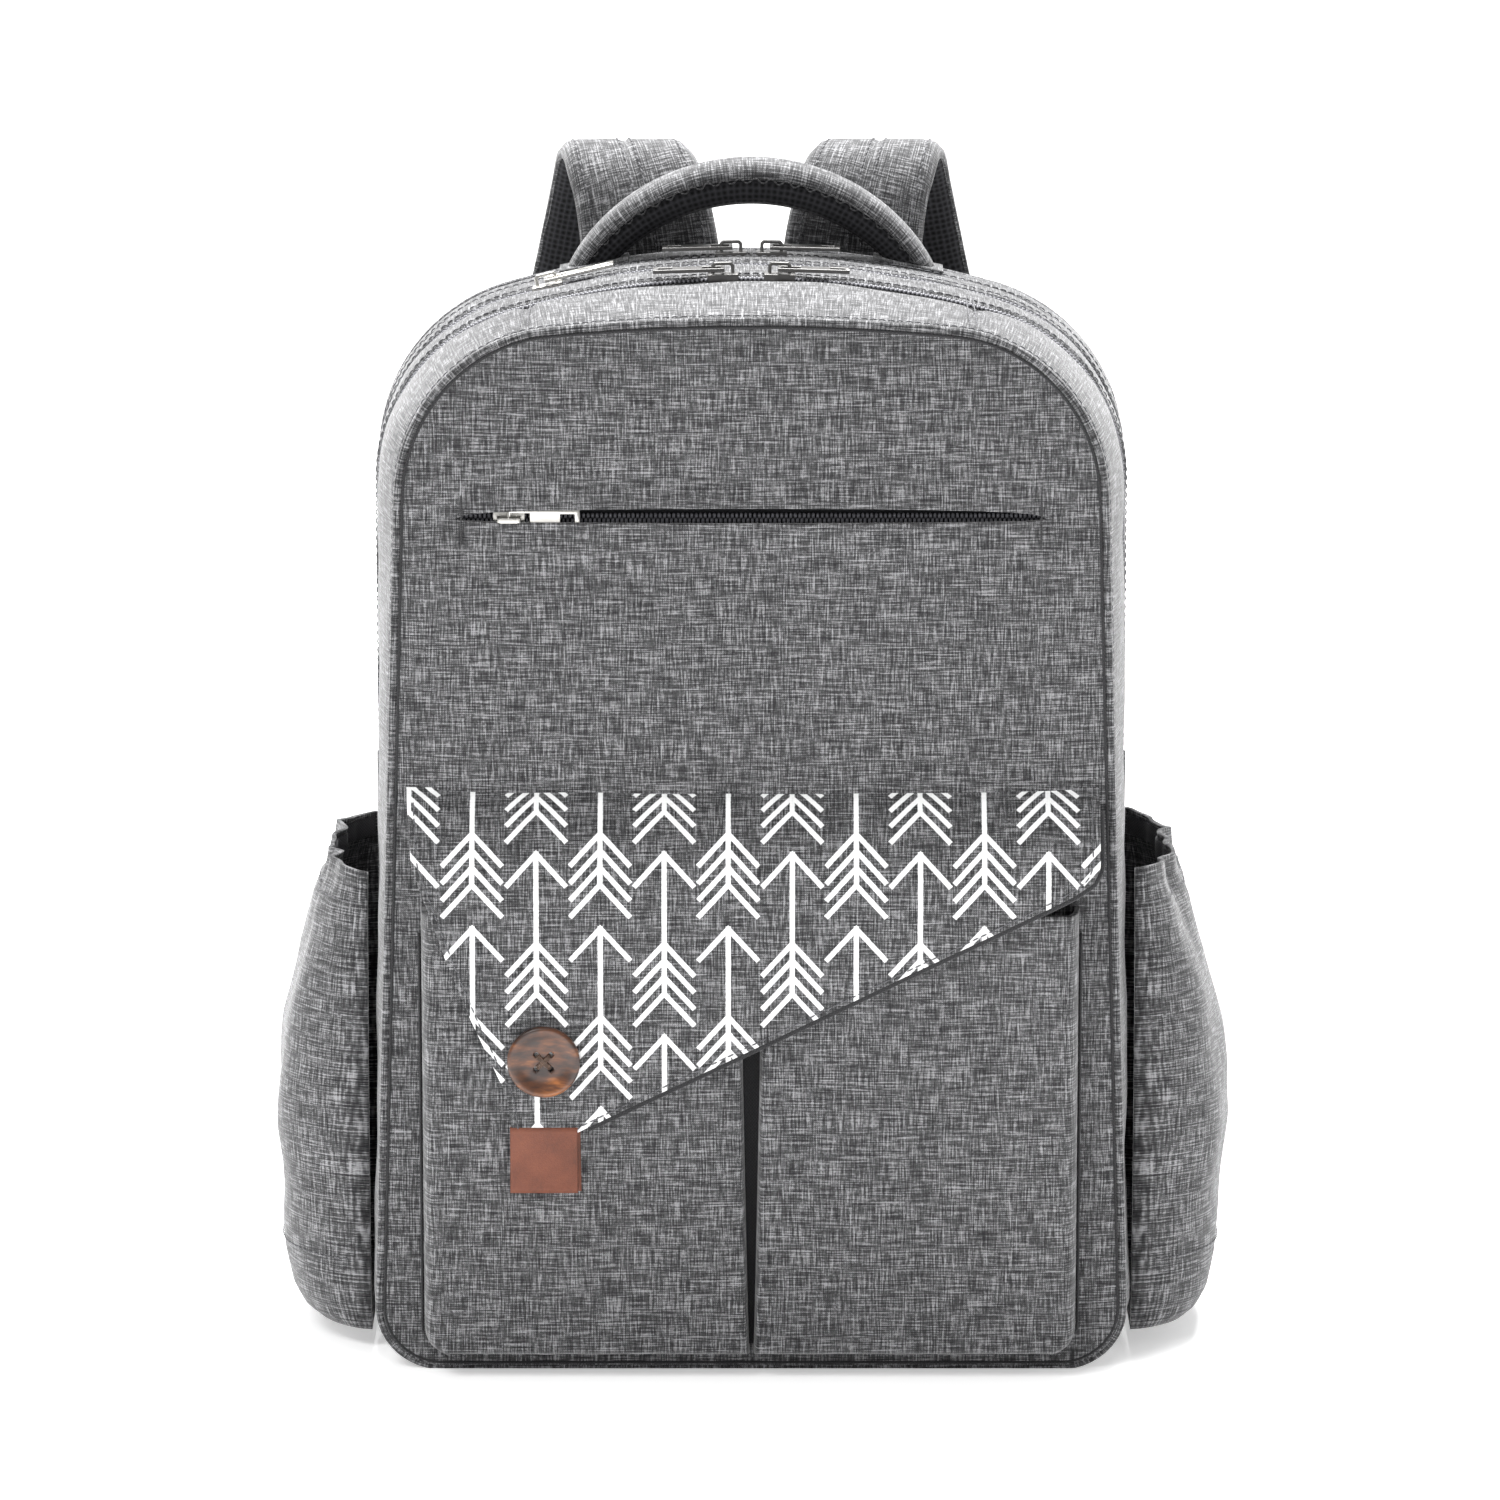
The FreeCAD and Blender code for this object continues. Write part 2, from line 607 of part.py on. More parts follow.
def build_flap():
    """The slanted flap over the patch pockets, with its tab, button and magnet."""
    flap = new_body("flap")
    bend = new_sketch(flap, "flap_bend", "YZ_Plane", "flap_left")
    polygon(bend, [("flap_hinge_depth", "flap_hinge_height"),
                   ("flap_back", "flap_knee_height"),
                   ("flap_back", "flap_tip_height"),
                   ("flap_back - flap_cloth", "flap_tip_height"),
                   ("flap_back - flap_cloth", "flap_knee_height"),
                   ("flap_hinge_depth - flap_cloth", "flap_hinge_height + 1")])
    pad(flap, "flap_cloth_pad", bend, "flap_right - flap_left")
    below = new_sketch(flap, "flap_diagonal", "XZ_Plane", "-flap_hinge_depth")
    polygon(below, [("flap_tip_right", "flap_tip_height"),
                    ("flap_right", "flap_corner_height"),
                    ("flap_right + 9", "flap_corner_height"),
                    ("flap_right + 9", "flap_tip_height - 9"),
                    ("flap_tip_right", "flap_tip_height - 9")])
    pocket(flap, "flap_diagonal_cut", below)
    side = new_sketch(flap, "flap_side", "XZ_Plane", "-flap_hinge_depth")
    polygon(side, [("flap_left - 9", "flap_hinge_height + 9"),
                   ("flap_left - 9", "flap_tip_height - 9"),
                   ("flap_tip_left", "flap_tip_height - 9"),
                   ("flap_tip_left", "flap_tip_height"),
                   ("flap_left + 18", "flap_knee_height - 22"),
                   ("flap_left", "flap_hinge_height + 9")])
    pocket(flap, "flap_side_cut", side)
    recess = new_sketch(flap, "flap_recess", "XZ_Plane", "-flap_back")
    disc(recess, "button_place", "button_height - 6", "magnet_radius + 0.2")
    pocket(flap, "flap_recess_cut", recess, "1.4", forward=True)
    plate = doc.addObject("Part::Cylinder", "flap_magnet")
    disc_plate(plate, "flap_back - 0.1", "button_height - 6", "1.2")
    keep(plate, "flap_magnet")

    tab = block("leather_tab", ("flap_tip_left", "flap_back - flap_cloth", "flap_tip_height - tab_height"),
                ("flap_tip_right", "flap_back + 0.2", "flap_tip_height"))
    keep(tab, "leather_tab")

    button = new_body("button")
    profile = new_sketch(button, "button_profile", "YZ_Plane", "0")
    polygon(profile, [("-0.5", "0"), ("-0.5", "button_radius - 3"), ("-1.8", "button_radius"),
                      ("-3.4", "button_radius"), ("-4.6", "button_radius - 1.6"),
                      ("-3", "button_radius - 5"), ("-3", "0")])
    turned = button.newObject("PartDesign::Revolution", "button_turned")
    turned.Profile = profile
    turned.ReferenceAxis = (profile, ["H_Axis"])
    turned.Angle = 360
    hole = new_sketch(button, "button_hole", "XZ_Plane", "0")
    disc(hole, "2.6", "2.6", "1.2")
    drilled = pocket(button, "button_hole_cut", hole)
    four = button.newObject("PartDesign::PolarPattern", "button_holes")
    four.Originals = [drilled]
    four.Axis = (profile, ["H_Axis"])
    four.Angle = 360
    four.Occurrences = 4
    button.Tip = four
    seat(button, ("button_place", "flap_back - flap_cloth", "button_height"), 0, (0, 0, 1))

    # four strands through the holes and a cross on the face
    strands = []
    for along in (-2.6, 2.6):
        for up in (-2.6, 2.6):
            strand = doc.addObject("Part::Cylinder", "strand")
            strand.Radius = 0.7
            strand.Height = 3.6
            strand.Placement = FreeCAD.Placement(Vector(along, 0, up),
                                                 FreeCAD.Rotation(Vector(1, 0, 0), 90))
            strands.append(strand)
    for angle in (45, -45):
        bar = doc.addObject("Part::Box", "cross_thread")
        bar.Length, bar.Width, bar.Height = 8.6, 0.9, 1.2
        turn = FreeCAD.Rotation(Vector(0, 1, 0), angle)
        bar.Placement = FreeCAD.Placement(turn.multVec(Vector(-4.3, -4, -0.6)), turn)
        strands.append(bar)
    thread = doc.addObject("Part::MultiFuse", "button_thread")
    thread.Shapes = strands
    for letter, text in zip("xyz", ("button_place", "flap_back - flap_cloth", "button_height")):
        thread.setExpression(f"Placement.Base.{letter}", bound(text))
    keep(thread, "button_thread")


def build_side_pockets():
    """A pouch on each side: foot, bulging waist and gathered mouth with elastic."""
    for label, elastic, sign in (("side_pocket_left", "pocket_elastic_left", -1),
                                 ("side_pocket_right", "pocket_elastic_right", 1)):
        body = new_body(label)
        for name, inset, half in (("outer", "0", "side_pocket_half"),
                                  ("inner", "wall", "side_pocket_half - wall")):
            sketch = new_sketch(body, f"{label}_{name}", "XZ_Plane", f"-({half})")
            wall = f"{sign} * (half_width + 0.1)" if name == "outer" else f"{sign} * half_width"
            low = f"side_pocket_foot + {inset}"
            high = "side_pocket_top" if name == "outer" else "side_pocket_top + 9"
            lean = "0" if name == "outer" else "-9 * (side_waist_reach - side_top_reach) / 100"
            corners = [
                (wall, low),
                (f"{sign} * (half_width + side_foot_reach - {inset})", low),
                (f"{sign} * (half_width + side_waist_reach - 8 - {inset})", "side_pocket_waist - 60"),
                (f"{sign} * (half_width + side_waist_reach - {inset})", "side_pocket_waist"),
                (f"{sign} * (half_width + side_waist_reach - 8 - {inset})", "side_pocket_waist + 50"),
                (f"{sign} * (half_width + side_top_reach - {inset} + {lean})", high),
                (wall, high),
            ]
            polygon(sketch, corners)
            if name == "outer":
                pad(body, f"{label}_pad", sketch, f"2 * {half}")
            else:
                pocket(body, f"{label}_hollow", sketch, f"2 * ({half})", forward=True)
        inner = sorted((f"{sign} * (half_width + side_top_reach - wall - 2.2)",
                        f"{sign} * (half_width + side_top_reach - wall - 1)"), key=value)
        band = block(elastic, (inner[0], "5 - side_pocket_half", "side_pocket_top - 9"),
                     (inner[1], "side_pocket_half - 5", "side_pocket_top - 2"))
        keep(band, elastic)


# ---------------------------------------------------------------- handle and straps

def build_handle():
    """Three layers bent over one centre: cloth above, core, mesh lining below."""
    layers = [("handle_grip", "0", "0"), ("handle_core", "handle_layer", "handle_core_inset"),
              ("handle_mesh", "2 * handle_layer", "0")]
    for label, depth, inset in layers:
        body = new_body(label)
        sketch = new_sketch(body, f"{label}_arc", "XZ_Plane", f"-(handle_back - {inset})")
        outer_text = f"handle_radius - {depth}"
        inner_text = f"handle_radius - {depth} - handle_layer"
        outer, inner = value(outer_text), value(inner_text)
        centre, low = value("handle_centre"), value("handle_foot_height")
        rise = low - centre
        wide, narrow = math.asin(rise / outer), math.asin(rise / inner)
        outside = add_arc(sketch, (0, centre), outer, wide, math.pi - wide)
        inside = add_arc(sketch, (0, centre), inner, narrow, math.pi - narrow)
        reach, near = outer * math.cos(wide), inner * math.cos(narrow)
        right = add_line(sketch, (reach, low), (near, low))
        left = add_line(sketch, (-near, low), (-reach, low))
        make = Sketcher.Constraint
        sketch.addConstraint([
            make("Coincident", outside, 1, right, 1),
            make("Coincident", right, 2, inside, 1),
            make("Coincident", inside, 2, left, 1),
            make("Coincident", left, 2, outside, 2),
            make("Coincident", inside, 3, outside, 3),
            make("PointOnObject", outside, 3, -2),
            make("Horizontal", right),
            make("Horizontal", left),
        ])
        rule(sketch, make("Radius", outside, outer), outer_text)
        rule(sketch, make("Radius", inside, inner), inner_text)
        rule(sketch, make("DistanceY", -1, 1, outside, 3, centre), "handle_centre")
        rule(sketch, make("DistanceY", -1, 1, right, 1, low), "handle_foot_height")
        rule(sketch, make("DistanceY", -1, 1, left, 1, low), "handle_foot_height")
        pad(body, f"{label}_pad", sketch, f"handle_back - handle_front - 2 * {inset}")
    feet = []
    for sign in (-1, 1):
        ends = sorted((f"{sign} * handle_tab_near", f"{sign} * handle_tab_far"), key=value)
        front = "main_zip_middle + tape_half + 2"
        feet.append(block("handle_foot", (ends[0], front, f"{arch_height('handle_tab_far')} - 0.4"),
                          (ends[1], "rear_face", f"{arch_height('handle_tab_near')} + 0.6")))
    both = doc.addObject("Part::Fuse", "handle_feet")
    both.Base, both.Tool = feet
    trimmed = doc.addObject("Part::Cut", "handle_tabs")
    trimmed.Base = both
    trimmed.Tool = [part for part in parts if part.Label == "rear_strip"][0]
    keep(trimmed, "handle_tabs")


# path of a strap's middle line on the left side: across, depth, height
STRAP_PATH = [(-41, 80, 417), (-44, 83.5, 436), (-49, 92, 447), (-54, 104, 451),
              (-58, 116, 446), (-62, 125, 430), (-68, 131, 400), (-78, 134, 350),
              (-92, 134, 290), (-104, 131, 235), (-112, 126, 195)]
WEBBING_PATH = [(-114, 124.5, 161), (-118, 119, 140), (-122, 110, 110), (-126, 98, 72),
                (-128, 88.5, 48)]


def ribbon(path, half, low, high, sign):
    """A band of even section along a path: a ruled loft through square-cut sections."""
    points = [Vector(sign * -x, y, z) for x, y, z in path]
    wires = []
    for index, point in enumerate(points):
        before = points[max(index - 1, 0)]
        after = points[min(index + 1, len(points) - 1)]
        along = (after - before).normalize()
        across = Vector(1, 0, 0)
        across = (across - along * across.dot(along)).normalize()
        out = across.cross(along).normalize()
        corners = [point + across * side + out * level
                   for side, level in ((-half, low), (half, low), (half, high), (-half, high))]
        wires.append(Part.makePolygon(corners + corners[:1]))
    return Part.makeLoft(wires, True, True)


def build_straps():
    """Padded straps that stand up from the top seam, curl over and hang behind."""
    half = value("strap_width") / 2
    thick = value("strap_pad_thick") / 2
    lining = value("strap_mesh_thick")
    web = value("webbing_width") / 2
    tape = value("webbing_thick") / 2
    for side, sign in (("left", -1), ("right", 1)):
        shapes = [
            (f"strap_pad_{side}", ribbon(STRAP_PATH, half, -thick, thick, sign)),
            (f"strap_mesh_{side}", ribbon(STRAP_PATH, half - 2, -thick - lining, -thick, sign)),
            (f"strap_webbing_{side}", ribbon(WEBBING_PATH, web, -tape, tape, sign)),
        ]
        for label, shape in shapes:
            feature = doc.addObject("Part::Feature", label)
            feature.Shape = shape
            keep(feature, label)
        near, far = sorted((f"{sign} * (lock_place - lock_half)",
                            f"{sign} * (lock_place + lock_half)"), key=value)
        lock = doc.addObject("Part::Cut", f"ladder_lock_{side}")
        lock.Base = block(f"lock_body_{side}", (near, "lock_front", "lock_foot"),
                          (far, "lock_back", "lock_top"))
        lock.Tool = block(f"lock_slot_{side}",
                          (f"{near} + lock_rail", "lock_front - 1", "lock_foot + lock_bar"),
                          (f"{far} - lock_rail", "lock_back + 1", "lock_top - lock_bar"))
        keep(lock, f"ladder_lock_{side}")
        near, far = sorted((f"{sign} * (anchor_place - anchor_half)",
                            f"{sign} * (anchor_place + anchor_half)"), key=value)
        anchor = block(f"strap_anchor_{side}", (near, "back_face", "anchor_foot"),
                       (far, "back_face + anchor_thick", "anchor_top"))
        keep(anchor, f"strap_anchor_{side}")
    yoke = block("strap_yoke", ("-yoke_half", "back_face", "yoke_foot"),
                 ("yoke_half", "back_face + yoke_thick", "yoke_top"))
    keep(yoke, "strap_yoke")


# ---------------------------------------------------------------- build, test, write

build_shell()
build_lid()
build_zip_hardware()
build_front_pockets()
build_flap()
build_side_pockets()
build_handle()
build_straps()
doc.recompute()

for thing in doc.Objects:
    if "Invalid" in thing.State or "Error" in thing.State:
        raise RuntimeError(f"{thing.Label} failed: {thing.State}")
for part in parts:
    if part.Shape.isNull() or not part.Shape.isValid() or not part.Shape.Solids:
        raise RuntimeError(f"{part.Label} has no sound solid")

os.makedirs("parts", exist_ok=True)
for part in parts:
    part.Shape.exportStep(f"parts/{part.Label}.step")
    box = part.Shape.BoundBox
    print(f"{part.Label}: {len(part.Shape.Solids)} solid, {part.Shape.Volume / 1000:.1f} cm3, "
          f"x {box.XMin:.1f} {box.XMax:.1f}, y {box.YMin:.1f} {box.YMax:.1f}, "
          f"z {box.ZMin:.1f} {box.ZMax:.1f}")
print(len(parts), "sub-parts")
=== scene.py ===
"""A heather grey diaper backpack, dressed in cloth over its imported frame.

Lengths are in metres. X points to the right as seen from the front, Y to the back and Z
up, and the bag stands on Z = 0 with its front towards -Y.
"""
import logging
import math
from dataclasses import dataclass, field
from enum import Enum
from typing import Callable, Sequence

import bmesh
import bpy
import numpy as np
from mathutils import Matrix, Vector

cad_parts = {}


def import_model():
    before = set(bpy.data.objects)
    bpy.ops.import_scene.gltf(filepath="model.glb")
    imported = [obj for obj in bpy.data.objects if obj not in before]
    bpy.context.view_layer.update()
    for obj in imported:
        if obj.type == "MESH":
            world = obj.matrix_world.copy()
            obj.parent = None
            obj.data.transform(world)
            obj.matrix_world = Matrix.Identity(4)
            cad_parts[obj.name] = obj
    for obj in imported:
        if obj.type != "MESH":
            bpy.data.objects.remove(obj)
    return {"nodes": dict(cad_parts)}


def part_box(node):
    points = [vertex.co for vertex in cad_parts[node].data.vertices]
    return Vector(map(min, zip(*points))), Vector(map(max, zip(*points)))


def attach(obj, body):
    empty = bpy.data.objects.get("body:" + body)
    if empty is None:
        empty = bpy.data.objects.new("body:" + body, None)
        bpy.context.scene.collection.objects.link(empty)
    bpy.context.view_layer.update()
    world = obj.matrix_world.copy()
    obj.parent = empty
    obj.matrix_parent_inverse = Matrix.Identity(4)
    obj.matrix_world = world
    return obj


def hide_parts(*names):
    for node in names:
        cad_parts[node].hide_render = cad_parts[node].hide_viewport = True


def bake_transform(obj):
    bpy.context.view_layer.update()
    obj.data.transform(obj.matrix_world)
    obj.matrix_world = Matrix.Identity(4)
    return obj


LOG = logging.getLogger("backpack")
MM = 0.001
Array = np.ndarray


# ------------------------------------------------------------------ mesh tools

def cloth_mesh(name: str, points: Array, uv: Array | None = None,
               wrap: tuple[bool, bool] = (False, False), caps: bool = False) -> bpy.types.Object:
    """Make a surface from a grid of points.

    Args:
        name: the piece's name.
        points: rows by columns by 3, in metres.
        uv: flat cloth coordinates in metres. A wrapped side needs one more row or column.
        wrap: whether rows and columns close on themselves.
        caps: whether the first and last rows get an end face.

    Returns:
        The new object, shaded smooth.
    """
    rows, cols = points.shape[:2]
    row = np.arange(rows if wrap[0] else rows - 1)
    col = np.arange(cols if wrap[1] else cols - 1)
    i, j = (grid.ravel() for grid in np.meshgrid(row, col, indexing="ij"))
    ni, nj = i + 1, j + 1
    corners = [(i, j), (ni, j), (ni, nj), (i, nj)]
    faces = np.stack([(a % rows) * cols + (b % cols) for a, b in corners], axis=1)
    polygons = faces.tolist()
    if caps:
        polygons.append(list(range(cols)))
        polygons.append(list(range(rows * cols - 1, (rows - 1) * cols - 1, -1)))
    mesh = bpy.data.meshes.new(name)
    mesh.from_pydata(points.reshape(-1, 3).tolist(), [], polygons)
    layer = mesh.uv_layers.new(name="UVMap")
    if uv is None:
        length = np.linalg.norm(np.diff(points, axis=0), axis=2).mean(axis=1)
        width = np.linalg.norm(np.diff(points, axis=1), axis=2).mean(axis=0)
        along = np.concatenate([[0.0], np.cumsum(length), [length.sum() + length[-1]]])
        across = np.concatenate([[0.0], np.cumsum(width), [width.sum() + width[-1]]])
        uv = np.stack(np.meshgrid(along, across, indexing="ij"), axis=2)
    loops = np.zeros((len(mesh.loops), 2), dtype=np.float32)
    body = np.stack([uv[a, b] for a, b in corners], axis=1).reshape(-1, 2)
    loops[:len(body)] = body
    layer.data.foreach_set("uv", loops.ravel())
    mesh.polygons.foreach_set("use_smooth", np.ones(len(mesh.polygons), dtype=bool))
    obj = bpy.data.objects.new(name, mesh)
    bpy.context.scene.collection.objects.link(obj)
    return turned_outwards(obj, closed=caps or all(wrap))


def turned_outwards(obj: bpy.types.Object, closed: bool) -> bpy.types.Object:
    """Recalculate a closed mesh's normals so that its faces point outwards."""
    if closed:
        shape = bmesh.new()
        shape.from_mesh(obj.data)
        bmesh.ops.recalc_face_normals(shape, faces=shape.faces)
        shape.to_mesh(obj.data)
        shape.free()
    return obj


def facing(obj: bpy.types.Object, direction: Sequence[float]) -> bpy.types.Object:
    """Flip an open sheet whose faces look away from a direction on the whole."""
    normals = np.zeros(len(obj.data.polygons) * 3)
    areas = np.zeros(len(obj.data.polygons))
    obj.data.polygons.foreach_get("normal", normals)
    obj.data.polygons.foreach_get("area", areas)
    if (normals.reshape(-1, 3) * areas[:, None]).sum(axis=0) @ np.array(direction) < 0:
        obj.data.flip_normals()
    return obj


def thicken(obj: bpy.types.Object, thickness: float, offset: float = -1.0) -> bpy.types.Object:
    """Give a sheet its cloth thickness, inwards by default."""
    solid = obj.modifiers.new("cloth", "SOLIDIFY")
    solid.thickness = thickness
    solid.offset = offset
    return obj


def soften(obj: bpy.types.Object, levels: int = 1) -> bpy.types.Object:
    """Subdivide a piece once or twice, the same in the view and in the render."""
    surface = obj.modifiers.new("soft", "SUBSURF")
    surface.levels = levels
    surface.render_levels = levels
    return obj


def resample(path: Array, count: int) -> Array:
    """Points at even distances along a polyline."""
    steps = np.linalg.norm(np.diff(path, axis=0), axis=1)
    travelled = np.concatenate([[0.0], np.cumsum(steps)])
    wanted = np.linspace(0.0, travelled[-1], count)
    return np.stack([np.interp(wanted, travelled, path[:, k]) for k in range(path.shape[1])], axis=1)


def length_of(path: Array) -> float:
    """The length of a polyline."""
    return float(np.linalg.norm(np.diff(path, axis=0), axis=1).sum())


def smooth_curve(knots: Sequence[Sequence[float]], count: int) -> Array:
    """A Catmull-Rom curve through knots, sampled at even distances."""
    knot = np.array(knots, dtype=float)
    padded = np.vstack([2 * knot[0] - knot[1], knot, 2 * knot[-1] - knot[-2]])
    t = np.linspace(0, 1, 24, endpoint=False)[:, None]
    pieces = []
    for before, start, finish, after in zip(padded, padded[1:], padded[2:], padded[3:]):
        pieces.append(0.5 * (2 * start + (finish - before) * t
                             + (2 * before - 5 * start + 4 * finish - after) * t ** 2
                             + (3 * start - before - 3 * finish + after) * t ** 3))
    return resample(np.vstack(pieces + [knot[-1:]]), count)


def unit(vectors: Array) -> Array:
    """Vectors scaled to length one."""
    return vectors / np.maximum(np.linalg.norm(vectors, axis=-1, keepdims=True), 1e-12)


def sweep(name: str, path: Array, across: Array, section: Array,
          ring: bool = False) -> bpy.types.Object:
    """Carry a closed section along a path.

    Args:
        name: the piece's name.
        path: the section's origin at each step.
        across: the section's first axis at each step.
        section: section points, first along ``across``, then outwards. It may differ
            from step to step.
        ring: whether the path closes.

    Returns:
        A closed piece.
    """
    if ring:
        tangent = unit(np.roll(path, -1, axis=0) - np.roll(path, 1, axis=0))
    else:
        tangent = unit(np.gradient(path, axis=0))
    side = unit(across - (across * tangent).sum(axis=1, keepdims=True) * tangent)
    out = np.cross(tangent, side)
    if section.ndim == 2:
        section = np.broadcast_to(section, (len(path), *section.shape))
    points = (path[:, None] + section[..., :1] * side[:, None] + section[..., 1:] * out[:, None])
    return cloth_mesh(name, points, wrap=(ring, True), caps=not ring)


def tube(name: str, path: Array, radius: float, ring: bool = False,
         sides: int = 8) -> bpy.types.Object:
    """A round cord of even radius along a path."""
    angle = np.linspace(0, 2 * math.pi, sides, endpoint=False)
    section = radius * np.stack([np.cos(angle), np.sin(angle)], axis=1)
    tangent = unit(np.gradient(path, axis=0))
    guide = np.where(np.abs(tangent[:, 1:2]) < 0.9, [[0.0, 1.0, 0.0]], [[1.0, 0.0, 0.0]])
    return sweep(name, path, guide, section, ring)


def rounded_box_section(width: float, height: float, radius: float, count: int = 5) -> Array:
    """A rectangle with round corners, centred on its origin."""
    corner = np.linspace(0, math.pi / 2, count)
    parts = []
    for quarter, (sx, sy) in enumerate([(1, 1), (-1, 1), (-1, -1), (1, -1)]):
        angle = corner + quarter * math.pi / 2
        centre = np.array([sx * (width / 2 - radius), sy * (height / 2 - radius)])
        parts.append(centre + radius * np.stack([np.cos(angle), np.sin(angle)], axis=1))
    return np.vstack(parts)


def hash_wave(*seeds: float) -> float:
    """A fixed number from 0 to 1 that looks random for a seed."""
    total = sum(seed * weight for seed, weight in zip(seeds, (12.9898, 78.233, 37.719)))
    return math.sin(total) * 43758.5453 % 1.0


def ripple(u: Array, v: Array, seed: float, waves: int = 6) -> Array:
    """Soft cloth unevenness: a few crossed waves of random direction, about -1 to 1.

    Args:
        u: first coordinate, in metres.
        v: second coordinate, in metres.
        seed: picks the pattern.
        waves: how many waves are added.

    Returns:
        The sum of the waves at each point, scaled by the square root of their number.
    """
    total = np.zeros_like(u)
    for index in range(waves):
        angle = math.pi * hash_wave(seed, index, 1)
        length = 0.035 + 0.07 * hash_wave(seed, index, 2)
        phase = 2 * math.pi * hash_wave(seed, index, 3)
        total = total + np.sin(2 * math.pi * (u * math.cos(angle) + v * math.sin(angle)) / length + phase)
    return total / math.sqrt(waves) * 0.7


def edge_distance(x: Array, z: Array) -> Array:
    """Distance of each grid point to the grid's own border, in the XZ plane."""
    flat = np.stack([x, z], axis=2)
    border = np.vstack([flat[0], flat[-1], flat[:, 0], flat[:, -1]])
    return np.sqrt(((flat[:, :, None] - border) ** 2).sum(axis=3)).min(axis=2)


def pillow_face(x: Array, z: Array, face: float, roll: float, depth: float,
                crown: float, seed: float, uneven: float = 0.5 * MM) -> Array:
    """Points of a padded panel that faces the front.

    The border rolls back over a quarter ellipse, the middle stands proud by the crown,
    and a ripple breaks the surface up.
    """
    away = edge_distance(x, z)
    near = 1 - np.clip(away / roll, 0, 1)
    rolled = depth * (1 - np.sqrt(np.clip(1 - near ** 2, 0, 1)))
    full = 1 - np.exp(-away / 0.03)
    y = face + rolled - crown * full + uneven * full * ripple(x, z, seed)
    return np.stack([x, y, z], axis=2)


def spread(count: int, tight: float = 0.6) -> Array:
    """Numbers from 0 to 1, closer together near both ends."""
    even = np.linspace(0, 1, count)
    return (1 - tight) * even + tight * (1 - np.cos(math.pi * even)) / 2


# ------------------------------------------------------------------ materials

def linear(hex_colour: str) -> tuple[float, float, float, float]:
    """Turn an sRGB hex colour into linear red, green, blue and alpha."""
    levels = [int(hex_colour[k:k + 2], 16) / 255 for k in (1, 3, 5)]
    bright = [v / 12.92 if v <= 0.04045 else ((v + 0.055) / 1.055) ** 2.4 for v in levels]
    return (*bright, 1.0)


def add_node(tree: bpy.types.NodeTree, kind: str, inputs: dict | None = None,
             **settings: object) -> bpy.types.Node:
    """Add a shader node, set its options, and fill or link its inputs."""
    node = tree.nodes.new(kind)
    for name, setting in settings.items():
        setattr(node, name, setting)
    for key, given in (inputs or {}).items():
        if isinstance(given, bpy.types.NodeSocket):
            tree.links.new(given, node.inputs[key])
        else:
            node.inputs[key].default_value = given
    return node


def sums(tree: bpy.types.NodeTree, operation: str, *values: object) -> bpy.types.NodeSocket:
    """The output of a Math node over two or three values or sockets."""
    return add_node(tree, "ShaderNodeMath", dict(enumerate(values)), operation=operation).outputs[0]


def ramp(tree: bpy.types.NodeTree, factor: bpy.types.NodeSocket,
         stops: Sequence[tuple[float, str]]) -> bpy.types.NodeSocket:
    """A colour ramp through hex colours at given places."""
    node = add_node(tree, "ShaderNodeValToRGB", {0: factor})
    band = node.color_ramp
    while len(band.elements) < len(stops):
        band.elements.new(0.5)
    for element, (place, colour) in zip(band.elements, stops):
        element.position = place
        element.color = linear(colour)
    return node.outputs["Color"]


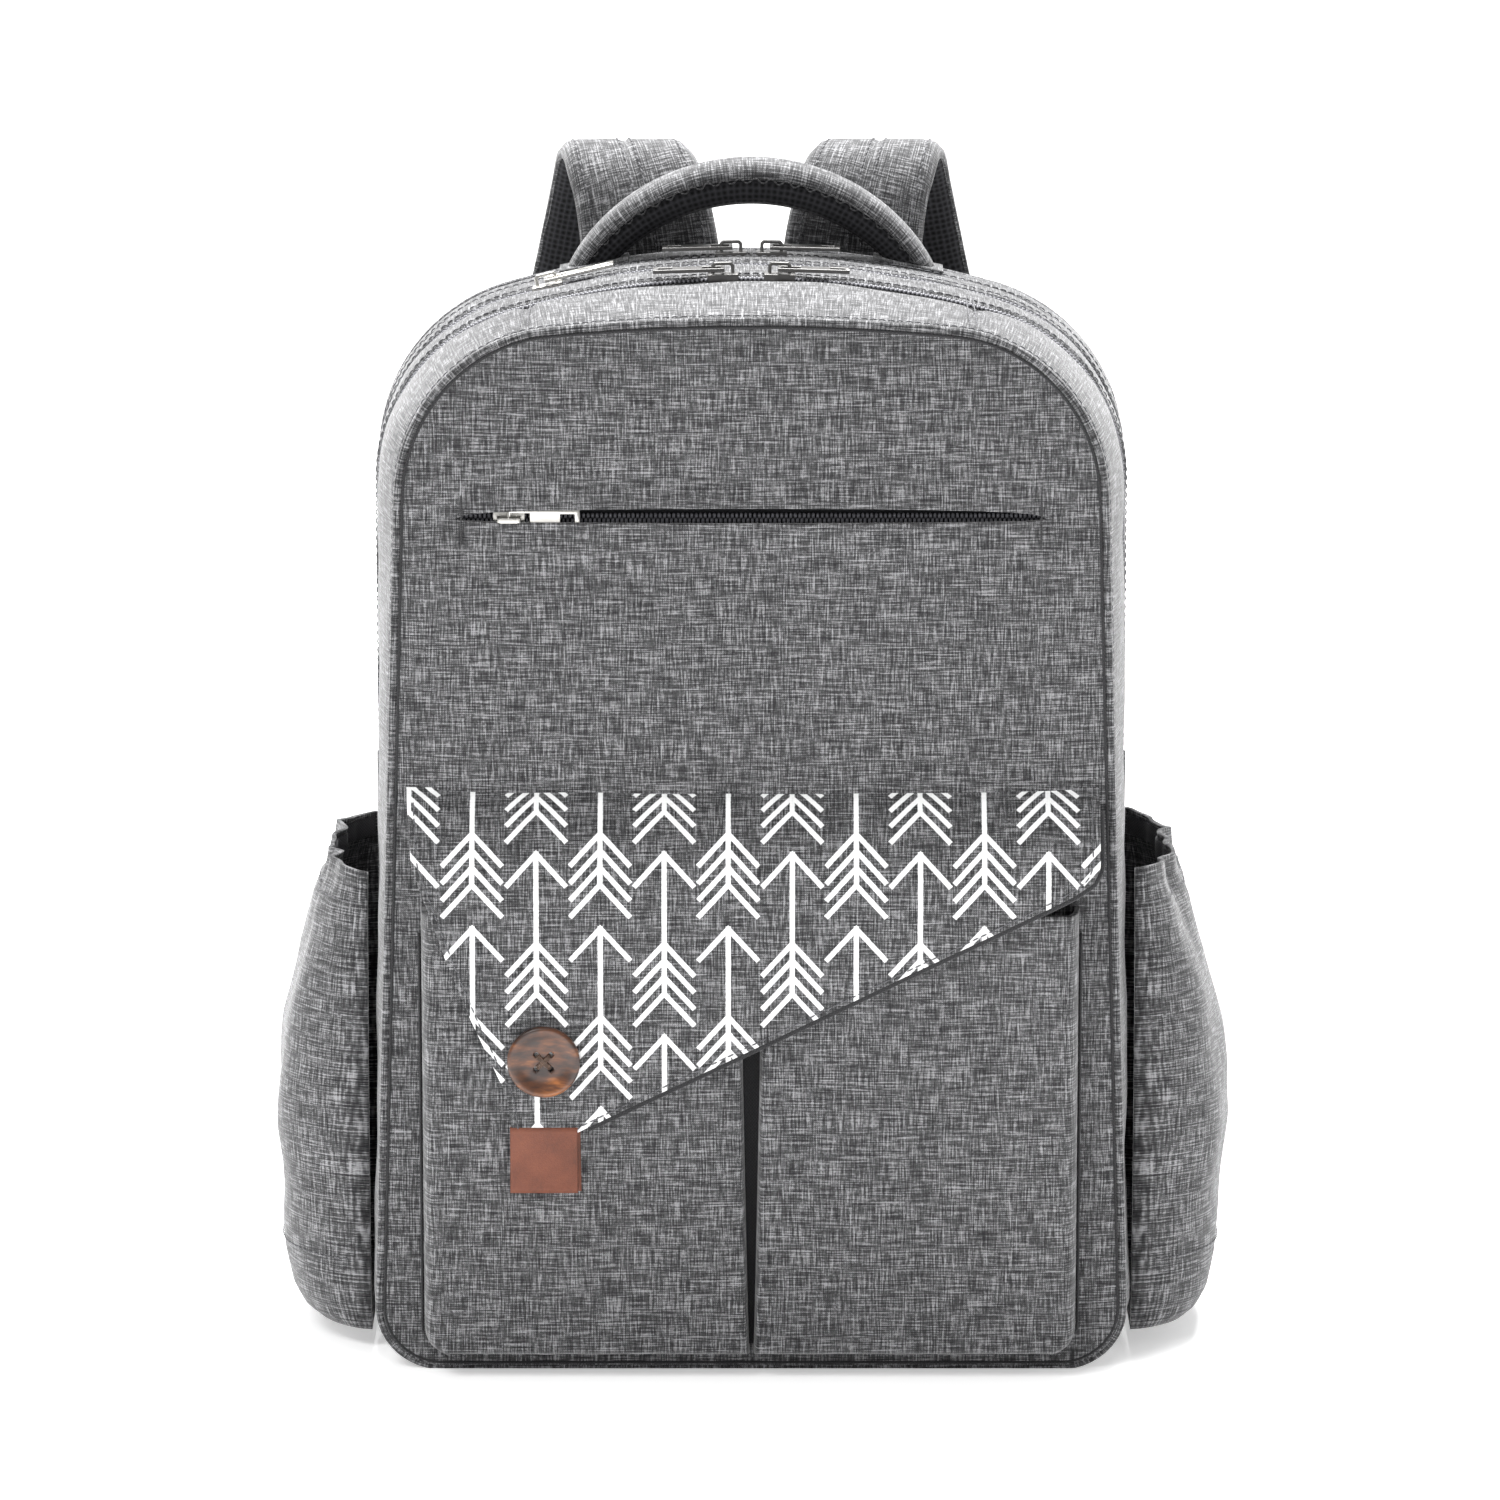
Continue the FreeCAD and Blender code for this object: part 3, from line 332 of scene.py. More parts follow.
@dataclass
class Finish:
    """A material under construction: its tree, its shader and its cloth coordinates."""

    name: str
    material: bpy.types.Material = field(init=False)
    tree: bpy.types.NodeTree = field(init=False)
    shader: bpy.types.Node = field(init=False)

    def __post_init__(self) -> None:
        """Start from an empty principled material."""
        self.material = bpy.data.materials.new(self.name)
        self.material.use_nodes = True
        self.tree = self.material.node_tree
        self.tree.nodes.clear()
        self.shader = add_node(self.tree, "ShaderNodeBsdfPrincipled")
        add_node(self.tree, "ShaderNodeOutputMaterial", {"Surface": self.shader.outputs[0]})

    def set(self, **levels: object) -> None:
        """Set the shader's own sockets; underscores in a key stand for spaces."""
        for key, level in levels.items():
            socket = self.shader.inputs[key.replace("_", " ").title().replace("Ior", "IOR")]
            if isinstance(level, bpy.types.NodeSocket):
                self.tree.links.new(level, socket)
            else:
                socket.default_value = level

    def millimetres(self, surface: bool = True) -> bpy.types.NodeSocket:
        """Cloth coordinates, or the object's own, in millimetres."""
        if surface:
            source = add_node(self.tree, "ShaderNodeUVMap", uv_map="UVMap").outputs["UV"]
        else:
            source = add_node(self.tree, "ShaderNodeTexCoord").outputs["Object"]
        return add_node(self.tree, "ShaderNodeVectorMath", {0: source, "Scale": 1000.0},
                        operation="SCALE").outputs[0]

    def noise(self, place: bpy.types.NodeSocket, size: Sequence[float], detail: float = 2.0,
              rough: float = 0.5, offset: float = 0.0) -> bpy.types.NodeSocket:
        """Noise whose grains measure ``size`` millimetres."""
        scale = tuple(1.0 / s for s in size)
        mapping = add_node(self.tree, "ShaderNodeMapping",
                           {"Vector": place, "Scale": scale, "Location": (offset, offset, offset)})
        return add_node(self.tree, "ShaderNodeTexNoise",
                        {"Vector": mapping.outputs[0], "Scale": 1.0, "Detail": detail,
                         "Roughness": rough}).outputs["Fac"]

    def bump(self, height: bpy.types.NodeSocket, distance: float, strength: float = 1.0) -> None:
        """Raise the surface by a height in metres."""
        node = add_node(self.tree, "ShaderNodeBump",
                        {"Height": height, "Distance": distance, "Strength": strength})
        self.tree.links.new(node.outputs[0], self.shader.inputs["Normal"])


@dataclass(frozen=True)
class ArrowPrint:
    """The screen print: upright arrows with chevron heads and feathers, in millimetres.

    Columns stand a pitch apart and every other one is shifted by half a period. A
    chevron is a line on which height plus distance from the column's middle is constant.
    """

    pitch: float = 24.4
    period: float = 71.4
    shift: float = 28.8
    origin: tuple[float, float] = (-8.8, 181.5)
    arm: float = 11.4
    slope: float = 1.1
    line: float = 0.85
    feather_step: float = 6.55
    feather_top: float = -34.7
    feather_foot: float = -54.35

    def mask(self, finish: Finish, place: bpy.types.NodeSocket) -> bpy.types.NodeSocket:
        """One on the ink and zero off it.

        Args:
            finish: the material that the print is for.
            place: cloth coordinates in millimetres.

        Returns:
            The socket with the ink's mask.
        """
        tree = finish.tree
        wobble = finish.noise(place, (1.1, 1.1, 1.1), 1.0, 0.5, 7.0)
        split = add_node(tree, "ShaderNodeSeparateXYZ", {0: place}).outputs
        x = sums(tree, "ADD", split[0], self.pitch / 2 - self.origin[0])
        column = sums(tree, "FLOOR", sums(tree, "DIVIDE", x, self.pitch))
        local = sums(tree, "SUBTRACT", sums(tree, "FLOORED_MODULO", x, self.pitch), self.pitch / 2)
        away = sums(tree, "ABSOLUTE", local)
        odd = sums(tree, "FLOORED_MODULO", column, 2.0)
        up = sums(tree, "SUBTRACT", split[1], self.origin[1])
        up = sums(tree, "SUBTRACT", up, sums(tree, "MULTIPLY", odd, self.shift))
        lean = sums(tree, "ADD", up, sums(tree, "MULTIPLY", away, self.slope))

        def wrapped(value: bpy.types.NodeSocket) -> bpy.types.NodeSocket:
            """Bring a height into one period that ends just above the arrow's head."""
            lifted = sums(tree, "ADD", value, self.period - 6.0)
            return sums(tree, "SUBTRACT", sums(tree, "FLOORED_MODULO", lifted, self.period),
                        self.period - 6.0)

        half = sums(tree, "ADD", self.line, sums(tree, "MULTIPLY", wobble, 0.35))
        level = wrapped(lean)
        step = sums(tree, "FLOORED_MODULO",
                    sums(tree, "SUBTRACT", level, self.feather_top - self.feather_step / 2),
                    self.feather_step)
        rung = sums(tree, "SUBTRACT", step, self.feather_step / 2)
        middle = (self.feather_top + self.feather_foot) / 2
        reach = (self.feather_top - self.feather_foot) / 2 + self.feather_step / 2
        outside = sums(tree, "SUBTRACT", sums(tree, "ABSOLUTE", sums(tree, "SUBTRACT", level, middle)),
                       reach)

        def stroke(offset: bpy.types.NodeSocket) -> bpy.types.NodeSocket:
            """Distance to a slanted arm with square ends, from the signed offset to its line."""
            beside = sums(tree, "MULTIPLY", sums(tree, "ABSOLUTE", offset), 1 / math.hypot(1, self.slope))
            lean_back = sums(tree, "MULTIPLY", offset, self.slope / (1 + self.slope ** 2))
            beyond = sums(tree, "SUBTRACT", sums(tree, "SUBTRACT", away, lean_back), self.arm - self.line)
            return sums(tree, "MAXIMUM", beside, beyond)

        feather = sums(tree, "MAXIMUM", stroke(rung), sums(tree, "ADD", outside, self.line))
        chevron = sums(tree, "MINIMUM", stroke(level), feather)
        upright = wrapped(up)
        centre = self.feather_foot / 2
        stem = sums(tree, "SUBTRACT", sums(tree, "ABSOLUTE", sums(tree, "SUBTRACT", upright, centre)),
                    -centre)
        shaft = sums(tree, "MAXIMUM", away, stem)
        gap = sums(tree, "SUBTRACT", sums(tree, "MINIMUM", chevron, shaft), half)
        return add_node(tree, "ShaderNodeMapRange",
                        {"Value": gap, "From Min": 0.12, "From Max": -0.25},
                        interpolation_type="SMOOTHSTEP").outputs[0]


@dataclass(frozen=True)
class HeatherCloth:
    """Polyester canvas woven from slubby melange yarn.

    The eye sees short light and dark dashes both ways, a matt face and a faint fuzz.
    The yarns are about 0.4 mm; the weave is drawn at 0.8 mm so that it still shows.
    """

    name: str
    ink: ArrowPrint | None = None
    dark: str = "#1e1e20"
    middle: str = "#464647"
    light: str = "#929294"
    yarn: float = 0.8

    def build(self) -> bpy.types.Material:
        """Make the material."""
        finish = Finish(self.name)
        tree = finish.tree
        place = finish.millimetres()
        weft = finish.noise(place, (12.0, 0.55, 1.0), 2.0, 0.55)
        warp = finish.noise(place, (0.55, 9.0, 1.0), 2.0, 0.55, 31.0)
        fleck = finish.noise(place, (0.8, 0.8, 1.0), 1.0, 0.6, 11.0)
        slubs = sums(tree, "MAXIMUM", finish.noise(place, (16.0, 0.8, 1.0), 1.0, 0.5, 53.0),
                     finish.noise(place, (0.8, 11.0, 1.0), 1.0, 0.5, 71.0))
        mixed = sums(tree, "ADD", sums(tree, "MULTIPLY", sums(tree, "ADD", weft, warp), 0.33),
                     sums(tree, "MULTIPLY", fleck, 0.12))
        mixed = sums(tree, "ADD", mixed, sums(tree, "MULTIPLY", slubs, 0.22))
        split = add_node(tree, "ShaderNodeSeparateXYZ", {0: place}).outputs
        turns = 2 * math.pi / self.yarn
        over = [sums(tree, "SINE", sums(tree, "MULTIPLY", split[k], turns)) for k in (0, 1)]
        weave = sums(tree, "MULTIPLY", over[0], over[1])
        tone = sums(tree, "ADD", mixed, sums(tree, "MULTIPLY", weave, 0.012))
        colour = ramp(tree, tone, [(0.43, self.dark), (0.515, self.middle), (0.605, self.light)])
        if self.ink:
            ink = self.ink.mask(finish, place)
            worn = sums(tree, "MULTIPLY_ADD", mixed, 0.9, 0.5)
            cover = sums(tree, "MULTIPLY", ink, sums(tree, "MINIMUM", worn, 1.0))
            colour = add_node(tree, "ShaderNodeMix", {0: cover, 6: colour, 7: linear("#f6f6f6")},
                              data_type="RGBA").outputs[2]
        finish.set(base_color=colour, roughness=0.8, sheen_weight=0.3, sheen_roughness=0.4)
        finish.shader.inputs["Specular IOR Level"].default_value = 0.25
        relief = sums(tree, "ADD", sums(tree, "MULTIPLY", weave, 0.3), mixed)
        finish.bump(relief, 0.25 * MM, 0.6)
        return finish.material


@dataclass(frozen=True)
class SpacerMesh:
    """Knitted polyester spacer mesh: a charcoal face with rows of small dark holes."""

    name: str = "spacer_mesh"
    pitch: float = 2.4

    def build(self) -> bpy.types.Material:
        """Make the material."""
        finish = Finish(self.name)
        tree = finish.tree
        place = finish.millimetres()
        cells = add_node(tree, "ShaderNodeTexVoronoi",
                         {"Vector": place, "Scale": 1.0 / self.pitch, "Randomness": 0.15})
        hole = cells.outputs["Distance"]
        colour = ramp(tree, hole, [(0.15, "#0d0d0e"), (0.32, "#222224"), (0.6, "#333336")])
        finish.set(base_color=colour, roughness=0.9, sheen_weight=0.02, sheen_roughness=0.5)
        finish.shader.inputs["Specular IOR Level"].default_value = 0.2
        finish.bump(hole, 0.8 * MM, 0.8)
        return finish.material


@dataclass(frozen=True)
class RibbedTape:
    """Woven polyester tape or webbing: fine ribs across its length, matt charcoal."""

    name: str
    dark: str = "#202022"
    light: str = "#47474a"
    rib: float = 1.6

    def build(self) -> bpy.types.Material:
        """Make the material."""
        finish = Finish(self.name)
        tree = finish.tree
        place = finish.millimetres()
        split = add_node(tree, "ShaderNodeSeparateXYZ", {0: place}).outputs
        turns = 2 * math.pi / self.rib
        ribs = sums(tree, "SINE", sums(tree, "MULTIPLY", split[0], turns))
        yarn = sums(tree, "SINE", sums(tree, "MULTIPLY", split[1], turns * 1.3))
        height = sums(tree, "MULTIPLY_ADD", sums(tree, "MULTIPLY", ribs, yarn), 0.25, 0.5)
        fuzz = finish.noise(place, (0.7, 0.7, 1.0), 2.0)
        tone = sums(tree, "MULTIPLY_ADD", fuzz, 0.5, sums(tree, "MULTIPLY", height, 0.5))
        finish.set(base_color=ramp(tree, tone, [(0.3, self.dark), (0.7, self.light)]),
                   roughness=0.82, sheen_weight=0.1)
        finish.shader.inputs["Specular IOR Level"].default_value = 0.3
        finish.bump(height, 0.25 * MM, 0.7)
        return finish.material


@dataclass(frozen=True)
class PlainWeave:
    """Thin polyester lining: an even plain weave with a slight gloss."""

    name: str = "lining"
    dark: str = "#6f6f70"
    light: str = "#8b8b8c"
    yarn: float = 0.7

    def build(self) -> bpy.types.Material:
        """Make the material."""
        finish = Finish(self.name)
        tree = finish.tree
        place = finish.millimetres()
        split = add_node(tree, "ShaderNodeSeparateXYZ", {0: place}).outputs
        turns = 2 * math.pi / self.yarn
        over = [sums(tree, "SINE", sums(tree, "MULTIPLY", split[k], turns)) for k in (0, 1)]
        weave = sums(tree, "MULTIPLY_ADD", sums(tree, "MULTIPLY", over[0], over[1]), 0.3, 0.5)
        cloud = finish.noise(place, (9.0, 9.0, 9.0), 3.0)
        tone = sums(tree, "MULTIPLY_ADD", weave, 0.5, sums(tree, "MULTIPLY", cloud, 0.5))
        finish.set(base_color=ramp(tree, tone, [(0.3, self.dark), (0.7, self.light)]), roughness=0.6)
        finish.bump(weave, 0.1 * MM, 0.5)
        return finish.material


@dataclass(frozen=True)
class CastMetal:
    """Die-cast zinc, barrelled and plated: bright, with faint rub marks."""

    name: str
    colour: str
    roughness: float

    def build(self) -> bpy.types.Material:
        """Make the material."""
        finish = Finish(self.name)
        tree = finish.tree
        place = finish.millimetres(surface=False)
        rub = finish.noise(place, (6.0, 0.5, 0.5), 3.0, 0.6)
        cloud = finish.noise(place, (3.0, 3.0, 3.0), 2.0, 0.5, 5.0)
        rough = sums(tree, "MULTIPLY_ADD", sums(tree, "ADD", rub, cloud), 0.16, self.roughness - 0.14)
        finish.set(base_color=linear(self.colour), metallic=1.0, roughness=rough)
        finish.bump(rub, 0.02 * MM, 0.4)
        return finish.material


@dataclass(frozen=True)
class TanLeather:
    """Vegetable tanned cowhide, aniline finished: fine pebbled grain, darker in its pores."""

    name: str = "tan_leather"

    def build(self) -> bpy.types.Material:
        """Make the material."""
        finish = Finish(self.name)
        tree = finish.tree
        place = finish.millimetres(surface=False)
        pebble = add_node(tree, "ShaderNodeTexVoronoi", {"Vector": place, "Scale": 1.3},
                          feature="DISTANCE_TO_EDGE").outputs["Distance"]
        grain = finish.noise(place, (0.9, 0.9, 0.9), 4.0, 0.6)
        cloud = finish.noise(place, (9.0, 9.0, 9.0), 3.0, 0.6, 3.0)
        tone = sums(tree, "MULTIPLY_ADD", grain, 0.45, sums(tree, "MULTIPLY", cloud, 0.55))
        finish.set(base_color=ramp(tree, tone, [(0.3, "#532a18"), (0.5, "#693621"), (0.72, "#77422a")]),
                   roughness=sums(tree, "MULTIPLY_ADD", grain, 0.25, 0.42))
        finish.bump(sums(tree, "MINIMUM", sums(tree, "MULTIPLY", pebble, 4.0), 0.6), 0.15 * MM, 0.7)
        return finish.material


@dataclass(frozen=True)
class PolishedHorn:
    """Horn-look polyester resin, turned and tumbled: streaky brown under a clear gloss."""

    name: str = "polished_horn"

    def build(self) -> bpy.types.Material:
        """Make the material."""
        finish = Finish(self.name)
        tree = finish.tree
        place = finish.millimetres(surface=False)
        streak = finish.noise(place, (11.0, 9.0, 3.2), 3.0, 0.6)
        cloud = finish.noise(place, (12.0, 12.0, 12.0), 2.0, 0.5, 4.0)
        tone = sums(tree, "MULTIPLY_ADD", streak, 0.6, sums(tree, "MULTIPLY", cloud, 0.4))
        colour = ramp(tree, tone, [(0.3, "#160c08"), (0.45, "#2e1a10"), (0.56, "#553018"),
                                   (0.68, "#8f5629")])
        finish.set(base_color=colour, roughness=0.38, coat_weight=0.2, coat_roughness=0.2)
        finish.bump(streak, 0.05 * MM, 0.3)
        return finish.material


@dataclass(frozen=True)
class MouldedPlastic:
    """Injection moulded acetal or polyethylene: satin, with a fine sparked texture."""

    name: str
    colour: str
    light: str

    def build(self) -> bpy.types.Material:
        """Make the material."""
        finish = Finish(self.name)
        place = finish.millimetres(surface=False)
        spark = finish.noise(place, (0.35, 0.35, 0.35), 2.0)
        finish.set(base_color=ramp(finish.tree, spark, [(0.3, self.colour), (0.8, self.light)]),
                   roughness=0.45)
        finish.bump(spark, 0.04 * MM, 0.6)
        return finish.material


@dataclass(frozen=True)
class TwistedThread:
    """Bonded polyester sewing thread: a slightly glossy three-ply twist."""

    name: str
    dark: str
    light: str

    def build(self) -> bpy.types.Material:
        """Make the material."""
        finish = Finish(self.name)
        tree = finish.tree
        place = finish.millimetres(surface=False)
        twist = add_node(tree, "ShaderNodeTexWave", {"Vector": place, "Scale": 0.9, "Distortion": 1.0},
                         bands_direction="DIAGONAL").outputs["Fac"]
        finish.set(base_color=ramp(tree, twist, [(0.2, self.dark), (0.8, self.light)]),
                   roughness=0.6, sheen_weight=0.1)
        finish.bump(twist, 0.08 * MM, 0.5)
        return finish.material


class Stuff(Enum):
    """The finishes that the bag is made of."""

    FLAP_PRINT = HeatherCloth("flap_heather", ArrowPrint())
    HEATHER = HeatherCloth("plain_heather")
    MESH = SpacerMesh()
    WEBBING = RibbedTape("webbing")
    TAPE = RibbedTape("zip_tape", "#1c1c1e", "#3a3a3d", 1.2)
    COIL = MouldedPlastic("nylon_coil", "#4c4c50", "#84848a")
    # Dark ribbed cloth for the strips that stand in for shade: painted shadow in the front seam's groove,
    # beside and between the patch pockets and under the flap's edge.
    PIPING = RibbedTape("painted_shade", "#19191a", "#343436", 1.4)
    LINING = PlainWeave()
    NICKEL = CastMetal("nickel_plate", "#c9c7c2", 0.28)
    GUNMETAL = CastMetal("gunmetal_plate", "#6b6a69", 0.36)
    LEATHER = TanLeather()
    HORN = PolishedHorn()
    PLASTIC = MouldedPlastic("acetal", "#131314", "#232325")
    BOARD = MouldedPlastic("board", "#3a3a3b", "#4c4c4e")
    THREAD = TwistedThread("grey_thread", "#39393b", "#66666a")
    DARK_THREAD = TwistedThread("dark_thread", "#161617", "#343436")
    BROWN_THREAD = TwistedThread("brown_thread", "#2a1c13", "#5c4230")


MADE: dict[Stuff, bpy.types.Material] = {}


def dress(obj: bpy.types.Object, stuff: Stuff) -> bpy.types.Object:
    """Give a piece its finish."""
    if stuff not in MADE:
        MADE[stuff] = stuff.value.build()
    obj.data.materials.clear()
    obj.data.materials.append(MADE[stuff])
    return obj


# ------------------------------------------------------------------ sewing and repeats

def bead(length: float, radius: float, rise: float = 0.0, sides: int = 6) -> tuple[Array, list]:
    """A short capsule along the first axis, with its middle raised along the third.

    Returns:
        Its points, and its faces as lists of corners.
    """
    along = np.array([-0.5, -0.32, 0.0, 0.32, 0.5]) * length
    thick = np.array([0.4, 0.95, 1.0, 0.95, 0.4]) * radius
    lift = np.array([-0.7, 0.4, 1.0, 0.4, -0.7]) * rise
    angle = np.linspace(0, 2 * math.pi, sides, endpoint=False)
    points = np.stack([np.repeat(along, sides), np.outer(thick, np.cos(angle)).ravel(),
                       np.outer(thick, np.sin(angle)).ravel() + np.repeat(lift, sides)], axis=1)
    faces = [[r * sides + k, r * sides + (k + 1) % sides,
              (r + 1) * sides + (k + 1) % sides, (r + 1) * sides + k]
             for r in range(4) for k in range(sides)]
    faces.append(list(range(sides))[::-1])
    faces.append(list(range(4 * sides, 5 * sides)))
    return points, faces


def repeated(name: str, centres: Array, axes: Array, shape: tuple[Array, list]) -> bpy.types.Object:
    """One mesh of many copies of a small shape.

    Args:
        name: the piece's name.
        centres: where each copy goes.
        axes: three unit vectors for each copy.
        shape: the small shape's points and faces.

    Returns:
        The new piece.
    """
    points, faces = shape
    placed = centres[:, None] + np.einsum("pk,nkc->npc", points, axes)
    step = np.arange(len(centres)) * len(points)
    polygons = [[corner + start for corner in face] for start in step.tolist() for face in faces]
    mesh = bpy.data.meshes.new(name)
    mesh.from_pydata(placed.reshape(-1, 3).tolist(), [], polygons)
    mesh.uv_layers.new(name="UVMap")
    mesh.polygons.foreach_set("use_smooth", np.ones(len(mesh.polygons), dtype=bool))
    obj = bpy.data.objects.new(name, mesh)
    bpy.context.scene.collection.objects.link(obj)
    return turned_outwards(obj, closed=True)


def stitches(name: str, path: Array, outward: Array, pitch: float = 3.4 * MM,
             length: float = 2.7 * MM, radius: float = 0.28 * MM) -> bpy.types.Object:
    """A line of lockstitch: a short raised thread at every pitch along a path.

    Args:
        name: the piece's name.
        path: points on the cloth.
        outward: the cloth's outward direction at those points, or one for all.
        pitch: from one stitch to the next.
        length: of the thread that shows.
        radius: of the thread.

    Returns:
        The row of stitches.
    """
    count = max(2, round(length_of(path) / pitch))
    outward = np.broadcast_to(np.asarray(outward, dtype=float), path.shape)
    both = resample(np.hstack([path, outward * 1e-6]), count)
    centres, out = both[:, :3], unit(both[:, 3:])
    tangent = unit(np.gradient(centres, axis=0))
    side = unit(np.cross(out, tangent))
    out = np.cross(tangent, side)
    axes = np.stack([tangent, side, out], axis=1)
    return repeated(name, centres, axes, bead(length, radius, radius * 0.9))


def refined_copy(node: str, name: str, bevel: float, segments: int = 2) -> bpy.types.Object:
    """A copy of a hard CAD node with merged corners and small rounded edges."""
    source = frame_nodes()[node]
    obj = bpy.data.objects.new(name, source.data.copy())
    obj.data.materials.clear()
    bpy.context.scene.collection.objects.link(obj)
    shape = bmesh.new()
    shape.from_mesh(obj.data)
    shape.transform(source.matrix_world)
    bmesh.ops.remove_doubles(shape, verts=shape.verts, dist=1e-6)
    bmesh.ops.dissolve_limit(shape, angle_limit=0.02, verts=shape.verts, edges=shape.edges)
    shape.to_mesh(obj.data)
    shape.free()
    edges = obj.modifiers.new("worn_edges", "BEVEL")
    edges.width = bevel
    edges.segments = segments
    edges.limit_method = "ANGLE"
    edges.angle_limit = math.radians(30)
    edges.harden_normals = False
    obj.data.polygons.foreach_set("use_smooth", np.ones(len(obj.data.polygons), dtype=bool))
    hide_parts(node)
    return obj


NODES: dict[str, bpy.types.Object] = {}


def frame_nodes() -> dict[str, bpy.types.Object]:
    """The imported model's own objects, by node name."""
    return NODES


def fold_with_lid(obj: bpy.types.Object) -> bpy.types.Object:
    """Bake the piece's world placement into its mesh."""
    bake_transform(obj)
    return obj


# ------------------------------------------------------------------ the bag's outline

@dataclass(frozen=True)
class BagSizes:
    """The closed bag's driving sizes, read from the frame."""

    half: float
    top: float
    front_half: float
    front_top: float
    fold: float
    face: float
    rear: float
    back: float
    main_zip: float
    middle_zip: float
    front_zip: float
    flat_shoulder: float = 64 * MM
    round_shoulder: float = 70 * MM
    flat_arch: float = 900 * MM
    round_arch: float = 350 * MM
    heel: float = 25 * MM

    @classmethod
    def from_frame(cls) -> "BagSizes":
        """Read the sizes from the CAD boxes."""
        strip, lid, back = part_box("rear_strip"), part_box("lid_panel_upper"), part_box("back_panel")

        def middle(node: str) -> float:
            """The middle of a node along Y."""
            return sum(corner[1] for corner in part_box(node)) / 2

        return cls(half=strip[1][0], top=strip[1][2], front_half=lid[1][0], front_top=lid[1][2],
                   fold=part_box("base_gusset")[1][2], face=lid[0][1], rear=strip[1][1],
                   back=back[1][1], main_zip=middle("main_zip_chain"),
                   middle_zip=middle("middle_zip_chain"), front_zip=-10 * MM)

    def half_at(self, depth: float) -> float:
        """Half the bag's width at a depth: fullest in the middle, tapered to the front."""
        return float(np.interp(depth, [self.face, self.front_zip, 0.02, self.rear, self.back],
                               [self.front_half, self.half - 4 * MM, self.half - 3.5 * MM,
                                self.half - 2 * MM, self.half - 4 * MM]))

    def top_at(self, depth: float) -> float:
        """The top's height at a depth: highest in the middle, lower at the front."""
        return float(np.interp(depth, [self.face, -0.05, self.front_zip, 0.02, self.rear, self.back],
                               [self.front_top, self.front_top + 3 * MM, self.top + MM,
                                self.top + 1.5 * MM, self.top - 1 * MM, self.top - 3 * MM]))

    def forward(self, depth: float) -> float:
        """How far a depth is on its way from the front zip to the front panel."""
        return float(np.clip((self.front_zip - depth) / (self.front_zip - self.face), 0, 1))

    def taper(self, z: Array) -> Array:
        """How much wider than the lid's own width the front is at a height."""
        return 1 + 0.23 * (208 * MM - z)

    def outline(self, depth: float, inset: float = 0.0, foot: float | None = None,
                count: int = 240) -> Array:
        """The outline at one depth, from left to right over the top.

        Two straight sides, two shoulder arcs and a shallow arch that touch without a
        corner. With no foot it is the whole ring, from the middle of the base round.

        Args:
            depth: where along Y.
            inset: how far inside the bag's skin.
            foot: the height at which the sides end.
            count: how many points.

        Returns:
            Points at even distances, as X, Y and Z.
        """
        half, top = self.half_at(depth) - inset, self.top_at(depth) - inset
        forward = self.forward(depth)
        bow = np.interp(forward, [0, 1], [1 / self.round_arch, 1 / self.flat_arch])
        corner = np.interp(forward, [0, 1], [self.round_shoulder, self.flat_shoulder]) - inset
        arch = 1 / bow - inset
        middle, reach = top - arch, half - corner
        level = middle + math.sqrt((arch - corner) ** 2 - reach ** 2)
        lean = math.atan2(level - middle, reach)

        def arc(x: float, z: float, radius: float, first: float, last: float) -> Array:
            """Points of an arc between two angles."""
            angle = np.linspace(first, last, 40)
            return np.stack([x + radius * np.cos(angle), z + radius * np.sin(angle)], axis=1)

        over = [arc(-reach, level, corner, math.pi, math.pi - lean),
                arc(0, middle, arch, math.pi - lean, lean), arc(reach, level, corner, lean, 0)]
        if foot is None:
            heel = self.heel - inset
            bend = half - heel
            path = [[[0, inset]], arc(-bend, inset + heel, heel, 1.5 * math.pi, math.pi), *over,
                    arc(bend, inset + heel, heel, 2 * math.pi, 1.5 * math.pi), [[0, inset]]]
        else:
            path = [[[-half, foot]], *over, [[half, foot]]]
        flat = resample(np.vstack(path), count + (foot is None))
        if foot is None:
            flat = flat[:-1]
        flat[:, 0] *= 1 + self.forward(depth) * (self.taper(flat[:, 1]) - 1)
        return np.insert(flat, 1, depth, axis=1)

    def trough(self, depth: float, count: int = 200) -> Array:
        """The outline below the fold, from the left side under the base to the right."""
        ring = self.outline(depth, count=900)
        below = ring[ring[:, 2] <= self.fold]
        left = below[below[:, 0] <= 0][::-1]
        right = below[below[:, 0] > 0][::-1]
        return resample(np.vstack([left, right]), count)

    def outward(self, path: Array) -> Array:
        """The skin's outward direction along an outline path."""
        tangent = unit(np.gradient(path, axis=0))
        return np.cross(tangent, [0.0, 1.0, 0.0])


# ------------------------------------------------------------------ body of the bag

